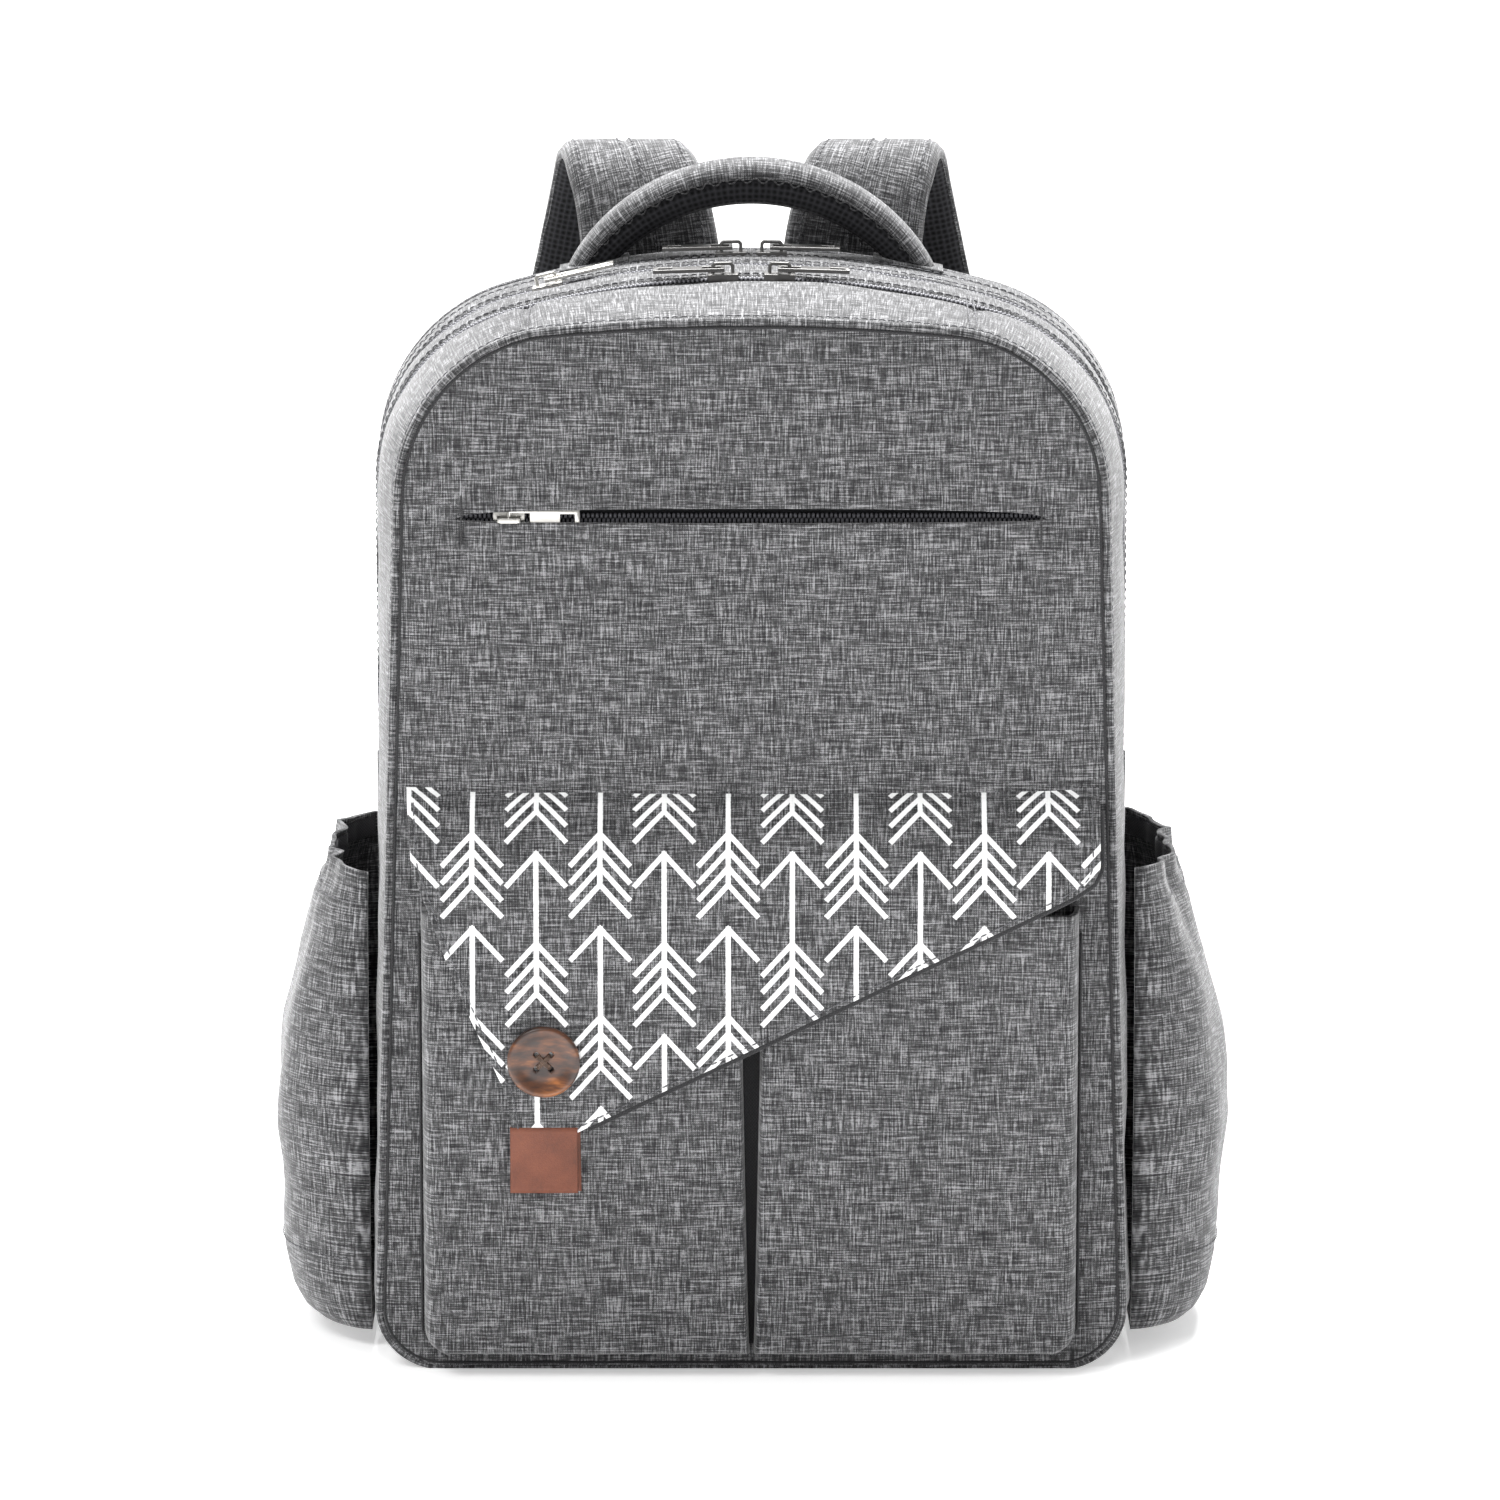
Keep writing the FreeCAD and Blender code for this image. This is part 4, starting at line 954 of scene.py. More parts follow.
@dataclass
class BagBody:
    """Gussets, strips over the top, front panels and padded back."""

    sizes: BagSizes
    cloth: float = 2.2 * MM

    def build(self) -> None:
        """Make every cloth wall of the bag."""
        self.front_gusset()
        self.base_trough()
        self.strips()
        self.front_panels()
        self.back_panel()
        self.seams()
        self.inside()

    def skin(self, name: str, depths: Array, paths: list[Array], crown: float,
             seed: float, ring: bool) -> bpy.types.Object:
        """A wall between outlines at several depths, bellied out by a crown.

        The crown rises as a half sine from edge to edge, and a ripple is added to it.
        """
        points = np.stack(paths)
        s = (depths - depths[0]) / (depths[-1] - depths[0])
        travel = np.linspace(0, length_of(paths[0]), points.shape[1])
        u, v = np.meshgrid(depths, travel, indexing="ij")
        swell = np.sin(math.pi * s)[:, None]
        edge = 1 - np.exp(-np.minimum(s, 1 - s) / 0.05)[:, None]
        rise = crown * swell + 0.7 * MM * edge * ripple(v, u, seed) - (1 - edge) * 1.6 * MM
        if ring:
            rise = rise * np.clip(points[:, :, 2] / 0.02, 0, 1)
            seam = np.exp(-((np.abs(points[:, :, 0]) - 85 * MM) / (1.7 * MM)) ** 2)
            rise -= 2.2 * MM * seam * (points[:, :, 2] > 0.3)
            tangent = unit(np.roll(points, -1, axis=1) - np.roll(points, 1, axis=1))
        else:
            tangent = unit(np.gradient(points, axis=1))
        normal = np.cross(tangent, [0.0, 1.0, 0.0])
        points = points + rise[..., None] * normal
        obj = cloth_mesh(name, points, wrap=(False, ring))
        return obj

    def front_gusset(self) -> None:
        """The wall from the front panel to the frontmost zip, all the way round."""
        b = self.sizes
        depths = b.face + 2.5 * MM + spread(22) * (b.front_zip - 3.6 * MM - b.face - 2.5 * MM)
        paths = [b.outline(d, count=300) for d in depths]
        wall = self.skin("front_gusset", depths, paths, 2.5 * MM, 3, ring=True)
        facing_out(wall)
        thicken(wall, self.cloth)
        dress(wall, Stuff.HEATHER)
        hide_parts("lid_gusset")
        fold_with_lid(wall)

    def base_trough(self) -> None:
        """The sides below the fold and the base, behind the front compartment."""
        b = self.sizes
        depths = b.front_zip - 3.4 * MM + spread(20) * (b.rear - b.front_zip + 3.4 * MM)
        paths = [b.trough(d) for d in depths]
        wall = self.skin("base_wall", depths, paths, 0.0, 5, ring=False)
        facing_out(wall)
        thicken(wall, self.cloth)
        dress(wall, Stuff.HEATHER)
        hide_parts("base_gusset")
        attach(wall, "root")

    def strips(self) -> None:
        """The three strips between the zips, each crowned and folded under at its edges."""
        b = self.sizes
        rows = [("rear_strip", b.main_zip + 2.6 * MM, b.rear),
                ("middle_strip", b.middle_zip + 2.6 * MM, b.main_zip - 2.6 * MM),
                ("divider_strip", b.front_zip + 1.2 * MM, b.middle_zip - 2.6 * MM)]
        for index, (node, front, back) in enumerate(rows):
            middle, width = (front + back) / 2, back - front
            s = np.linspace(-1, 1, 17)
            outer = 1.1 * MM * (1 - s ** 2) - 2.4 * MM * np.clip((np.abs(s) - 0.82) / 0.18, 0, 1) ** 2
            top = np.stack([s * width / 2, outer], axis=1)
            under = np.stack([s[::-2] * width / 2 * 0.99, np.full(9, -3.2 * MM)], axis=1)
            section = np.vstack([top, under])
            path = b.outline(middle, foot=b.fold - 1 * MM, count=260)
            wave = 0.45 * MM * ripple(np.linspace(0, 0.65, 260)[:, None], s[None] * width / 2, 7 + index)
            sections = np.broadcast_to(section, (260, *section.shape)).copy()
            sections[:, :17, 1] += wave
            strip = sweep(f"{node}_cloth", path, np.tile([0.0, 1.0, 0.0], (260, 1)), sections)
            dress(strip, Stuff.HEATHER)
            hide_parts(node)
            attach(strip, "root")
            for side, edge in (("front", front + 2.4 * MM), ("back", back - 2.4 * MM)):
                line = b.outline(edge, inset=-0.7 * MM, foot=b.fold + 4 * MM)
                sewn = stitches(f"{node}_{side}_stitch", line, b.outward(line))
                dress(sewn, Stuff.THREAD)
                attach(sewn, "root")

    def lens(self, x: Array, rise: float) -> Array:
        """How far one lip of the slit stands from its middle line: a long flat lens."""
        low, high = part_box("pocket_zip_chain")
        half = (high[0] - low[0]) / 2 - 3 * MM
        return rise * np.clip(1 - (x / half) ** 2, 0, 1) ** 0.3

    def panel_half(self, z: Array) -> Array:
        """Half the front panel's width at a height, with the heel's round corner."""
        b = self.sizes
        straight = (b.front_half - 2.0 * MM) * b.taper(z)
        drop = np.clip(b.heel - z, 0, b.heel)
        return straight - b.heel + np.sqrt(np.clip(b.heel ** 2 - drop ** 2, 0, None))

    def front_panels(self) -> None:
        """The front in two cloths that meet in the seam through the concealed pocket."""
        b = self.sizes
        low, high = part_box("pocket_zip_chain")
        slit = (low[2] + high[2]) / 2
        v, u = np.meshgrid(spread(110, 0.75), 2 * spread(130, 0.5) - 1, indexing="ij")
        z = 1.5 * MM + v * (slit - 1.5 * MM)
        x = u * self.panel_half(z)
        z = z - self.lens(x, 1.2 * MM) * np.clip((v - 0.86) / 0.14, 0, 1) ** 2
        points = pillow_face(x, z, b.face, 3.5 * MM, 4.5 * MM, 3.5 * MM, 11, 0.7 * MM)
        lip = np.clip((v - 0.9) / 0.07, 0, 1) ** 2 * self.lens(x, 1.0)
        points[:, :, 1] = np.minimum(points[:, :, 1], b.face - 3.4 * MM * lip)
        lower = cloth_mesh("front_panel_cloth", points, np.stack([x, z], axis=2))
        panels = [(lower, ["front_lower_panel", "lid_panel_lower"])]
        rim = b.outline(b.face, inset=2.0 * MM, foot=slit, count=900)
        v, u = np.meshgrid(spread(50, 0.75), 2 * spread(150, 0.9) - 1, indexing="ij")
        x = u * (np.abs(rim[:, 0]).max() - 0.05 * MM)
        crest = np.interp(x, rim[:, 0], rim[:, 2])
        z = slit + (crest - slit) * v + self.lens(x, 4.6 * MM) * np.clip((0.24 - v) / 0.24, 0, 1) ** 2
        points = pillow_face(x, z, b.face, 3.5 * MM, 4.5 * MM, 3.5 * MM, 12, 0.7 * MM)
        lip = np.clip((0.3 - v) / 0.25, 0, 1) * self.lens(x, 1.0)
        points[:, :, 1] = np.minimum(points[:, :, 1], b.face - 3.0 * MM * lip)
        upper = cloth_mesh("front_yoke_cloth", points, np.stack([x, z], axis=2))
        panels.append((upper, ["lid_panel_upper"]))
        for panel, nodes in panels:
            facing(panel, (0, -1, 0))
            thicken(panel, 2.0 * MM)
            dress(panel, Stuff.HEATHER)
            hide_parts(*nodes)
        fold_with_lid(lower)
        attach(upper, "lid")
        for side in (-1, 1):
            end = side * ((high[0] - low[0]) / 2 - 4 * MM)
            tack = np.stack([np.full(24, end), np.full(24, b.face - 2.4 * MM),
                             np.linspace(slit - 9 * MM, slit + 9 * MM, 24)], axis=1)
            sewn = stitches(f"bar_tack_{'left' if side < 0 else 'right'}", tack, (0, -1, 0),
                            0.85 * MM, 1.2 * MM, 0.4 * MM)
            dress(sewn, Stuff.DARK_THREAD)
            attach(sewn, "lid")

    def back_panel(self) -> None:
        """The padded back: mesh over foam, quilted into three upright channels."""
        b = self.sizes
        v, u = np.meshgrid(spread(120, 0.5), 2 * spread(130, 0.5) - 1, indexing="ij")
        rim = b.outline(b.back, inset=1.0 * MM, foot=0.2, count=900)
        x = u * self.back_half()
        crest = np.interp(x, rim[:, 0], rim[:, 2])
        base = 1.5 * MM
        z = base + v * (crest - base)
        drop = np.clip(b.heel - z, 0, b.heel)
        x = u * (self.back_half() - b.heel + np.sqrt(b.heel ** 2 - drop ** 2))
        points = pillow_face(x, z, 0.0, 9 * MM, 9 * MM, 2.0 * MM, 21, 0.4 * MM)
        groove = np.exp(-((np.abs(x) - 42 * MM) / (3.2 * MM)) ** 2)
        across = np.exp(-((z - 0.15) / (3.2 * MM)) ** 2) * (np.abs(x) < 42 * MM)
        inside = np.clip(edge_distance(x, z) / 0.03, 0, 1)
        points[:, :, 1] = b.back - 2 * MM - points[:, :, 1] - 5 * MM * np.maximum(groove, across) * inside
        pad = cloth_mesh("back_pad", points, np.stack([x, z], axis=2))
        facing(pad, (0, 1, 0))
        thicken(pad, 3 * MM)
        dress(pad, Stuff.MESH)
        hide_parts("back_panel", "back_foam")
        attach(pad, "root")

    def back_half(self) -> float:
        """Half the back's width above its heels."""
        return self.sizes.half_at(self.sizes.back) - 1.0 * MM

    def seams(self) -> None:
        """Bound seams round the front and the back, the side seams over the top, and a dark tube of painted
        shadow in the front seam's groove.
        """
        b = self.sizes
        front = tube("front_seam_cord", b.outline(b.face + 1.4 * MM, inset=0.6 * MM, count=420),
                     1.7 * MM, ring=True)
        dress(front, Stuff.HEATHER)
        fold_with_lid(front)
        # A dark tube in the groove inside the front seam cord: painted shadow where the panel's rolled edge
        # meets the cord.
        groove = tube("front_seam_shadow", b.outline(b.face + 0.2 * MM, inset=2.5 * MM, count=420),
                      0.6 * MM, ring=True)
        dress(groove, Stuff.PIPING)
        fold_with_lid(groove)
        lower = tube("base_seam_cord", b.trough(b.front_zip - 3 * MM, 260), 1.6 * MM)
        dress(lower, Stuff.HEATHER)
        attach(lower, "root")
        back = tube("back_seam_cord", b.outline(b.rear + 1.0 * MM, inset=0.6 * MM, count=420),
                    2.0 * MM, ring=True)
        dress(back, Stuff.HEATHER)
        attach(back, "root")
        line = b.outline(b.face + 6.0 * MM, inset=-0.6 * MM, count=420)
        sewn = stitches("front_gusset_stitch", line, b.outward(line))
        dress(sewn, Stuff.THREAD)
        fold_with_lid(sewn)
        for side, x in (("left", -86 * MM), ("right", 84 * MM)):
            depth = np.linspace(b.face + 5 * MM, b.front_zip - 6 * MM, 30)
            height = [float(np.interp(x, *b.outline(d, inset=-2.6 * MM, foot=0.3)[:, [0, 2]].T))
                      for d in depth]
            line = np.stack([np.full(30, x), depth, height], axis=1)
            for offset in (-1.3 * MM, 1.3 * MM):
                sewn = stitches(f"top_seam_{side}_{'a' if offset < 0 else 'b'}",
                                line + [offset, 0, 0], (0, 0, 1))
                dress(sewn, Stuff.THREAD)
                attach(sewn, "lid")

    def inside(self) -> None:
        """Dividers, stiffener and the concealed pocket's bag."""
        b = self.sizes
        for index, node in enumerate(("divider_rear", "divider_front")):
            low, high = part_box(node)
            depth = (low[1] + high[1]) / 2
            rim = b.outline(depth, inset=4.5 * MM, foot=0.2, count=900)
            v, u = np.meshgrid(spread(60), 2 * spread(70) - 1, indexing="ij")
            x = u * (high[0] - 1 * MM)
            crest = np.interp(x, rim[:, 0], rim[:, 2])
            z = low[2] + v * (crest - low[2])
            y = depth - 0.75 * MM + 1.2 * MM * ripple(x, z, 31 + index) * np.sin(math.pi * v)
            wall = cloth_mesh(f"{node}_cloth", np.stack([x, y, z], axis=2), np.stack([x, z], axis=2))
            facing(wall, (0, -1, 0))
            thicken(wall, 1.5 * MM)
            dress(wall, Stuff.LINING)
            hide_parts(node)
            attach(wall, "root")
        low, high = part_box("pocket_pouch")
        v, u = np.meshgrid(spread(40), spread(60), indexing="ij")
        x = low[0] + u * (high[0] - low[0])
        z = low[2] + v * (high[2] - low[2])
        points = pillow_face(x, z, 0.0, 12 * MM, 8 * MM, 1.5 * MM, 41, 1.0 * MM)
        points[:, :, 1] = high[1] - 2 * MM - points[:, :, 1]
        pouch = cloth_mesh("pouch_cloth", points, np.stack([x, z], axis=2))
        facing(pouch, (0, 1, 0))
        thicken(pouch, 0.8 * MM)
        dress(pouch, Stuff.LINING)
        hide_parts("pocket_pouch")
        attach(pouch, "lid")
        board = refined_copy("base_board", "stiffener_board", 0.8 * MM)
        dress(board, Stuff.BOARD)
        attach(board, "root")


def facing_out(obj: bpy.types.Object) -> bpy.types.Object:
    """Flip a wall round the bag whose faces look towards the bag's middle."""
    count = len(obj.data.polygons)
    normals, centres = np.zeros(count * 3), np.zeros(count * 3)
    obj.data.polygons.foreach_get("normal", normals)
    obj.data.polygons.foreach_get("center", centres)
    away = centres.reshape(-1, 3) - [0.0, 0.0, 0.2]
    away[:, 1] = 0
    if (normals.reshape(-1, 3) * away).sum() < 0:
        obj.data.flip_normals()
    return obj


# ------------------------------------------------------------------ zips

@dataclass
class Zips:
    """Coil zips: woven tape, two rows of nylon coil, sliders and pulls."""

    sizes: BagSizes
    pitch: float = 1.7 * MM

    def build(self) -> None:
        """Make every zip with its hardware."""
        b = self.sizes
        self.over_the_top("main_zip_chain", b.main_zip, -1, 1, "root")
        self.over_the_top("middle_zip_chain", b.middle_zip, -1, 1, "root")
        self.over_the_top("front_zip_rear_half", b.front_zip, 0, 1, "root")
        self.over_the_top("front_zip_front_half", b.front_zip, -1, 0, "lid")
        self.pocket_zip()
        self.hardware()

    def teeth(self, name: str, path: Array, across: Sequence[float], outward: Array,
              sides: Sequence[int]) -> bpy.types.Object:
        """Rows of coil turns: short beads that lie across the zip, half a pitch apart."""
        count = round(length_of(path) / self.pitch)
        both = resample(np.hstack([path, outward * 1e-6]), count)
        centres, out = both[:, :3], unit(both[:, 3:])
        tangent = unit(np.gradient(centres, axis=0))
        side = np.broadcast_to(np.asarray(across, dtype=float), centres.shape)
        axes = np.stack([side, tangent, out], axis=1)
        rows = [centres + side * (row * 0.95 * MM) + tangent * (row * self.pitch / 4) for row in sides]
        return repeated(name, np.vstack(rows), np.vstack([axes] * len(rows)),
                        bead(2.1 * MM, 0.62 * MM, 0.25 * MM))

    def over_the_top(self, node: str, depth: float, low: int, high: int, body: str) -> None:
        """One zip, or one half of it, that follows the bag's outline."""
        b = self.sizes
        path = b.outline(depth, foot=b.fold + 0.5 * MM, count=300)
        width = 4.4 * MM
        start, stop = low * width + 0.15 * MM * (low == 0), high * width - 0.15 * MM * (high == 0)
        top, under = -1.6 * MM, -2.6 * MM
        section = np.array([[start, top], [(start + stop) / 2, top], [stop, top],
                            [stop, under], [(start + stop) / 2, under], [start, under]])
        tape = sweep(f"{node}_tape", path, np.tile([0.0, 1.0, 0.0], (len(path), 1)), section)
        dress(tape, Stuff.TAPE)
        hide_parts(node)
        sides = [side for side in (-1, 1) if low <= side <= high]
        line = b.outline(depth, inset=0.8 * MM, foot=b.fold + 2 * MM, count=300)
        coil = self.teeth(f"{node}_coil", line, (0, 1, 0), b.outward(line), sides)
        dress(coil, Stuff.COIL)
        for piece in (tape, coil):
            if body == "lid":
                fold_with_lid(piece)
            else:
                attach(piece, "root")

    def pocket_zip(self) -> None:
        """The straight zip behind the front panel's slit."""
        low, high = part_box("pocket_zip_chain")
        slit = (low[2] + high[2]) / 2
        x = np.linspace(low[0] + 2 * MM, high[0] - 2 * MM, 60)
        path = np.stack([x, np.full(60, high[1] - 0.6 * MM), np.full(60, slit)], axis=1)
        section = rounded_box_section(14 * MM, 0.9 * MM, 0.3 * MM, 2)
        tape = sweep("pocket_zip_tape", path, np.tile([0.0, 0.0, 1.0], (60, 1)), section)
        dress(tape, Stuff.TAPE)
        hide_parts("pocket_zip_chain")
        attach(tape, "lid")
        line = path + [0, -3.2 * MM, 0]
        coil = self.teeth("pocket_zip_coil", line, (0, 0, 1), np.tile([0.0, -1.0, 0.0], (60, 1)), (-1, 1))
        dress(coil, Stuff.COIL)
        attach(coil, "lid")

    def hardware(self) -> None:
        """Sliders and pulls with worn edges: bright on two zips, dark on the rest."""
        for kind, sides in (("main", ("_left", "_right")), ("middle", ("",)),
                            ("front", ("_left", "_right")), ("pocket", ("",))):
            stuff = Stuff.NICKEL if kind in ("middle", "pocket") else Stuff.GUNMETAL
            for side in sides:
                for part, bevel in (("slider", 0.45 * MM), ("pull", 0.4 * MM)):
                    node = f"{kind}_{part}{side}"
                    piece = refined_copy(node, f"{node}_metal", bevel, 3)
                    dress(piece, stuff)
                    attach(piece, node)


# ------------------------------------------------------------------ patch pockets and flap

@dataclass
class PatchPockets:
    """Two soft patch pockets side by side, with a gap that opens towards the top."""

    sizes: BagSizes
    # Sizes and depths of the dark strips that paint the shadow in the pockets' outer seams and in the gap
    # between them.
    cord: float = 1.1 * MM
    seam_shadow_depth: float = 2.2 * MM
    gap_shadow_width: float = 10 * MM
    gap_shadow_depth: float = 5.5 * MM

    def build(self) -> None:
        """Make both pockets."""
        for index, (side, sign) in enumerate((("left", -1), ("right", 1))):
            node = f"front_pocket_{side}"
            low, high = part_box(node)
            outer, inner = (low[0], high[0]) if sign < 0 else (high[0], low[0])
            v, u = np.meshgrid(spread(90, 0.6), spread(80, 0.6), indexing="ij")
            z = low[2] + v * (high[2] - low[2])
            corner = 11 * MM
            drop = np.clip(corner - (z - low[2]), 0, corner)
            tuck = corner - np.sqrt(corner ** 2 - drop ** 2)
            gape = 3.0 * MM * np.clip((z - low[2]) / 0.14, 0, 1) ** 0.8
            left = outer - sign * tuck
            right = inner + sign * (gape - 1.2 * MM)
            x = left + u * (right - left)
            sewn, slit = self.distances(x, z)
            away = np.minimum(sewn, slit)
            near = 1 - np.clip(np.minimum(sewn / (5.5 * MM), slit / (2.2 * MM)), 0, 1)
            depth = self.sizes.face - low[1]
            y = low[1] + (depth + 1 * MM) * (1 - np.sqrt(np.clip(1 - near ** 2.4, 0, 1)))
            full = 1 - np.exp(-away / 0.025)
            hollow = 2.0 * MM * np.sin(math.pi * u) * np.sin(math.pi * v)
            y += full * (1.0 * MM * ripple(x, z, 51 + index) - hollow)
            y += 1.0 * MM
            cloth = cloth_mesh(f"{node}_cloth", np.stack([x, y, z], axis=2), np.stack([x, z], axis=2))
            facing(cloth, (0, -1, 0))
            thicken(cloth, 1.8 * MM)
            dress(cloth, Stuff.HEATHER)
            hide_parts(node)
            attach(cloth, "root")
        # Dark strips of painted shadow beside and between the pockets.
        self.dark_strips()

    def dark_strips(self) -> None:
        """Painted shadow: a dark cord in the seam beside each pocket and a dark strip behind the gap
        between the pockets.
        """
        steps = 30
        across = np.tile([1.0, 0.0, 0.0], (steps, 1))
        for side, sign in (("left", -1), ("right", 1)):
            low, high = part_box(f"front_pocket_{side}")
            outer = low[0] if sign < 0 else high[0]
            seam = np.stack([np.full(steps, outer + sign * 0.5 * MM),
                             np.full(steps, self.sizes.face - self.seam_shadow_depth),
                             np.linspace(low[2] + 8 * MM, high[2] - 10 * MM, steps)], axis=1)
            groove = sweep(f"pocket_seam_{side}", seam, across,
                           rounded_box_section(self.cord, self.cord, 0.5 * MM, 3))
            dress(groove, Stuff.PIPING)
            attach(groove, "root")
        gap_shadow_path = np.stack([np.zeros(steps), np.full(steps, self.sizes.face - self.gap_shadow_depth),
                            np.linspace(low[2] + 4 * MM, high[2] - 6 * MM, steps)], axis=1)
        tape = sweep("pocket_gap_shadow", gap_shadow_path, across,
                     rounded_box_section(self.gap_shadow_width, 1.2 * MM, 0.4 * MM, 3))
        dress(tape, Stuff.PIPING)
        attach(tape, "root")

    def distances(self, x: Array, z: Array) -> tuple[Array, Array]:
        """Distance to the outer side and foot, and to the edge along the middle gap."""
        flat = np.stack([x, z], axis=2)
        borders = (np.vstack([flat[0], flat[:, 0]]), flat[:, -1])
        sewn, slit = [np.sqrt(((flat[:, :, None] - border) ** 2).sum(axis=3)).min(axis=2)
                      for border in borders]
        return sewn, slit


@dataclass
class Flap:
    """The slanted flap with its stitching, horn button, thread and leather tab."""

    sizes: BagSizes
    corner: float = 199 * MM
    knee: float = 190 * MM
    # Width and depth of the dark strip that paints the shadow under the flap's slanted free edge.
    edge_shadow_width: float = 3.0 * MM
    edge_shadow_depth: float = 2.1 * MM

    def build(self) -> None:
        """Make the flap and what is on it."""
        low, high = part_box("flap")
        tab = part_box("leather_tab")
        tip_left, tip_right = tab[0][0], tab[1][0]
        top = high[2] + 2 * MM
        v, u = np.meshgrid(spread(120, 0.2), spread(150, 0.5), indexing="ij")
        z = top - v * (top - low[2])
        slope = (z - low[2]) / (self.corner - low[2])
        right = np.where(z > self.corner, high[0], tip_right + np.clip(slope, 0, 1) * (high[0] - tip_right))
        right -= 2.5 * MM * np.exp(-((z - self.corner) / (3.5 * MM)) ** 2)
        left = np.interp(z, [low[2], 115 * MM, 145 * MM, 170 * MM, 205 * MM, top],
                         [tip_left + 1 * MM, tip_left - MM, -107 * MM, -117 * MM, -129.5 * MM, low[0]])
        x = left + u * (right - left)
        y = self.surface(x, z)
        step = np.hypot(np.diff(y, axis=0), np.diff(z, axis=0))
        length = np.vstack([np.zeros((1, x.shape[1])), np.cumsum(step, axis=0)])
        printed = length[-1:] - length + low[2]
        cloth = cloth_mesh("flap_cloth", np.stack([x, y, z], axis=2), np.stack([x, printed], axis=2))
        facing(cloth, (0, -1, 0))
        thicken(cloth, 2.2 * MM)
        dress(cloth, Stuff.FLAP_PRINT)
        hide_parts("flap", "flap_magnet")
        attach(cloth, "flap")
        self.edge_stitches(x, z)
        # A dark strip of painted shadow under the slanted free edge.
        self.hem(x, z)
        self.button()
        self.leather_tab()
        magnet = refined_copy("pocket_magnet", "pocket_snap", 0.3 * MM)
        dress(magnet, Stuff.NICKEL)
        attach(magnet, "root")

    def surface(self, x: Array, z: Array) -> Array:
        """The flap's outer face: from the seam out over the pockets' mouth, then down."""
        low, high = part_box("flap")
        step = np.clip((high[2] + 1 * MM - z) / (high[2] - self.knee), 0, 1)
        eased = step ** 0.8 * (2 - step ** 0.8)
        right = np.clip((x - low[0]) / (high[0] - low[0]), 0, 1)
        sag = (0.5 * MM * ripple(x, z, 61) + 1.6 * MM * right) * step
        return high[1] + 2.5 * MM + (low[1] - 0.4 * MM - high[1] - 2.5 * MM) * eased - sag

    def edge_stitches(self, x: Array, z: Array) -> None:
        """Topstitching two millimetres inside the free edges."""
        inset = 2.4 * MM
        left = np.stack([x[6:, 0] + inset, z[6:, 0]], axis=1)
        right = np.stack([x[:, -1] - inset * 1.2, z[:, -1] + inset * 0.2], axis=1)[6:-3]
        for name, line in (("left", left[:-3]), ("right", right)):
            depth = self.surface(line[:, 0], line[:, 1]) - 0.1 * MM
            path = np.stack([line[:, 0], depth, line[:, 1]], axis=1)
            sewn = stitches(f"flap_{name}_stitch", path, (0, -1, 0))
            dress(sewn, Stuff.THREAD)
            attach(sewn, "flap")

    def hem(self, x: Array, z: Array) -> None:
        """A stand-in for shadow: a dark strip that shows below the slanted free edge."""
        free = resample(np.stack([x[8:-2, -1], z[8:-2, -1]], axis=1), 140)
        depth = self.surface(free[:, 0], free[:, 1]) + self.edge_shadow_depth
        path = np.stack([free[:, 0] + 0.2 * MM, depth, free[:, 1] - 0.6 * MM], axis=1)
        across = unit(np.cross(np.gradient(path, axis=0), [0.0, 1.0, 0.0]))
        strip = sweep("flap_edge_shadow", path, across, rounded_box_section(self.edge_shadow_width, 1.0 * MM, 0.4 * MM, 2))
        dress(strip, Stuff.PIPING)
        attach(strip, "flap")

    def button(self) -> None:
        """A four-hole button with a raised rim, sewn with a crossed brown thread."""
        low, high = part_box("button")
        x0, z0 = (low[0] + high[0]) / 2, (low[2] + high[2]) / 2
        radius = (high[0] - low[0]) / 2
        back, face = high[1], low[1]
        rings = radius * np.array([0.0, .1, .2, .3, .4, .5, .58, .66, .74, .82, .88, .93, .97, 1.0, 1.0,
                                   .97, .9, .6, .3, 0.0])
        profile = face + np.array([1.7, 1.7, 1.65, 1.6, 1.5, 1.45, 1.35, 1.1, .6, .2, .03, 0, .3, 1.0, 2.2,
                                   2.9, 3.3, 3.6, 3.7, 3.7]) * MM
        profile = np.minimum(profile, back)
        angle = np.linspace(0, 2 * math.pi, 72, endpoint=False)
        r, a = np.meshgrid(rings, angle, indexing="ij")
        points = np.stack([x0 + r * np.cos(a), np.repeat(profile[:, None], 72, axis=1),
                           z0 + r * np.sin(a)], axis=2)
        disc = cloth_mesh("horn_button", points, wrap=(False, True))
        shape = bmesh.new()
        shape.from_mesh(disc.data)
        bmesh.ops.remove_doubles(shape, verts=shape.verts, dist=1e-6)
        bmesh.ops.recalc_face_normals(shape, faces=shape.faces)
        shape.to_mesh(disc.data)
        shape.free()
        for k in range(4):
            spot = math.pi / 4 + k * math.pi / 2
            self.drill(disc, x0 + 3.7 * MM * math.cos(spot), z0 + 3.7 * MM * math.sin(spot), back, face)
        soften(disc)
        dress(disc, Stuff.HORN)
        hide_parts("button")
        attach(disc, "flap")
        axes, centres = [], []
        for angle_of in (math.pi / 4, -math.pi / 4):
            for offset in (-0.55 * MM, 0.0, 0.55 * MM):
                along = np.array([math.cos(angle_of), 0, math.sin(angle_of)])
                side = np.array([-math.sin(angle_of), 0, math.cos(angle_of)])
                centres.append(np.array([x0, face + 1.25 * MM, z0]) + side * offset)
                axes.append(np.stack([along, side, [0.0, -1.0, 0.0]]))
        thread = repeated("button_crossed_thread", np.array(centres), np.array(axes),
                          bead(7.6 * MM, 0.42 * MM, 0.5 * MM, 8))
        dress(thread, Stuff.BROWN_THREAD)
        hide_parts("button_thread")
        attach(thread, "flap")

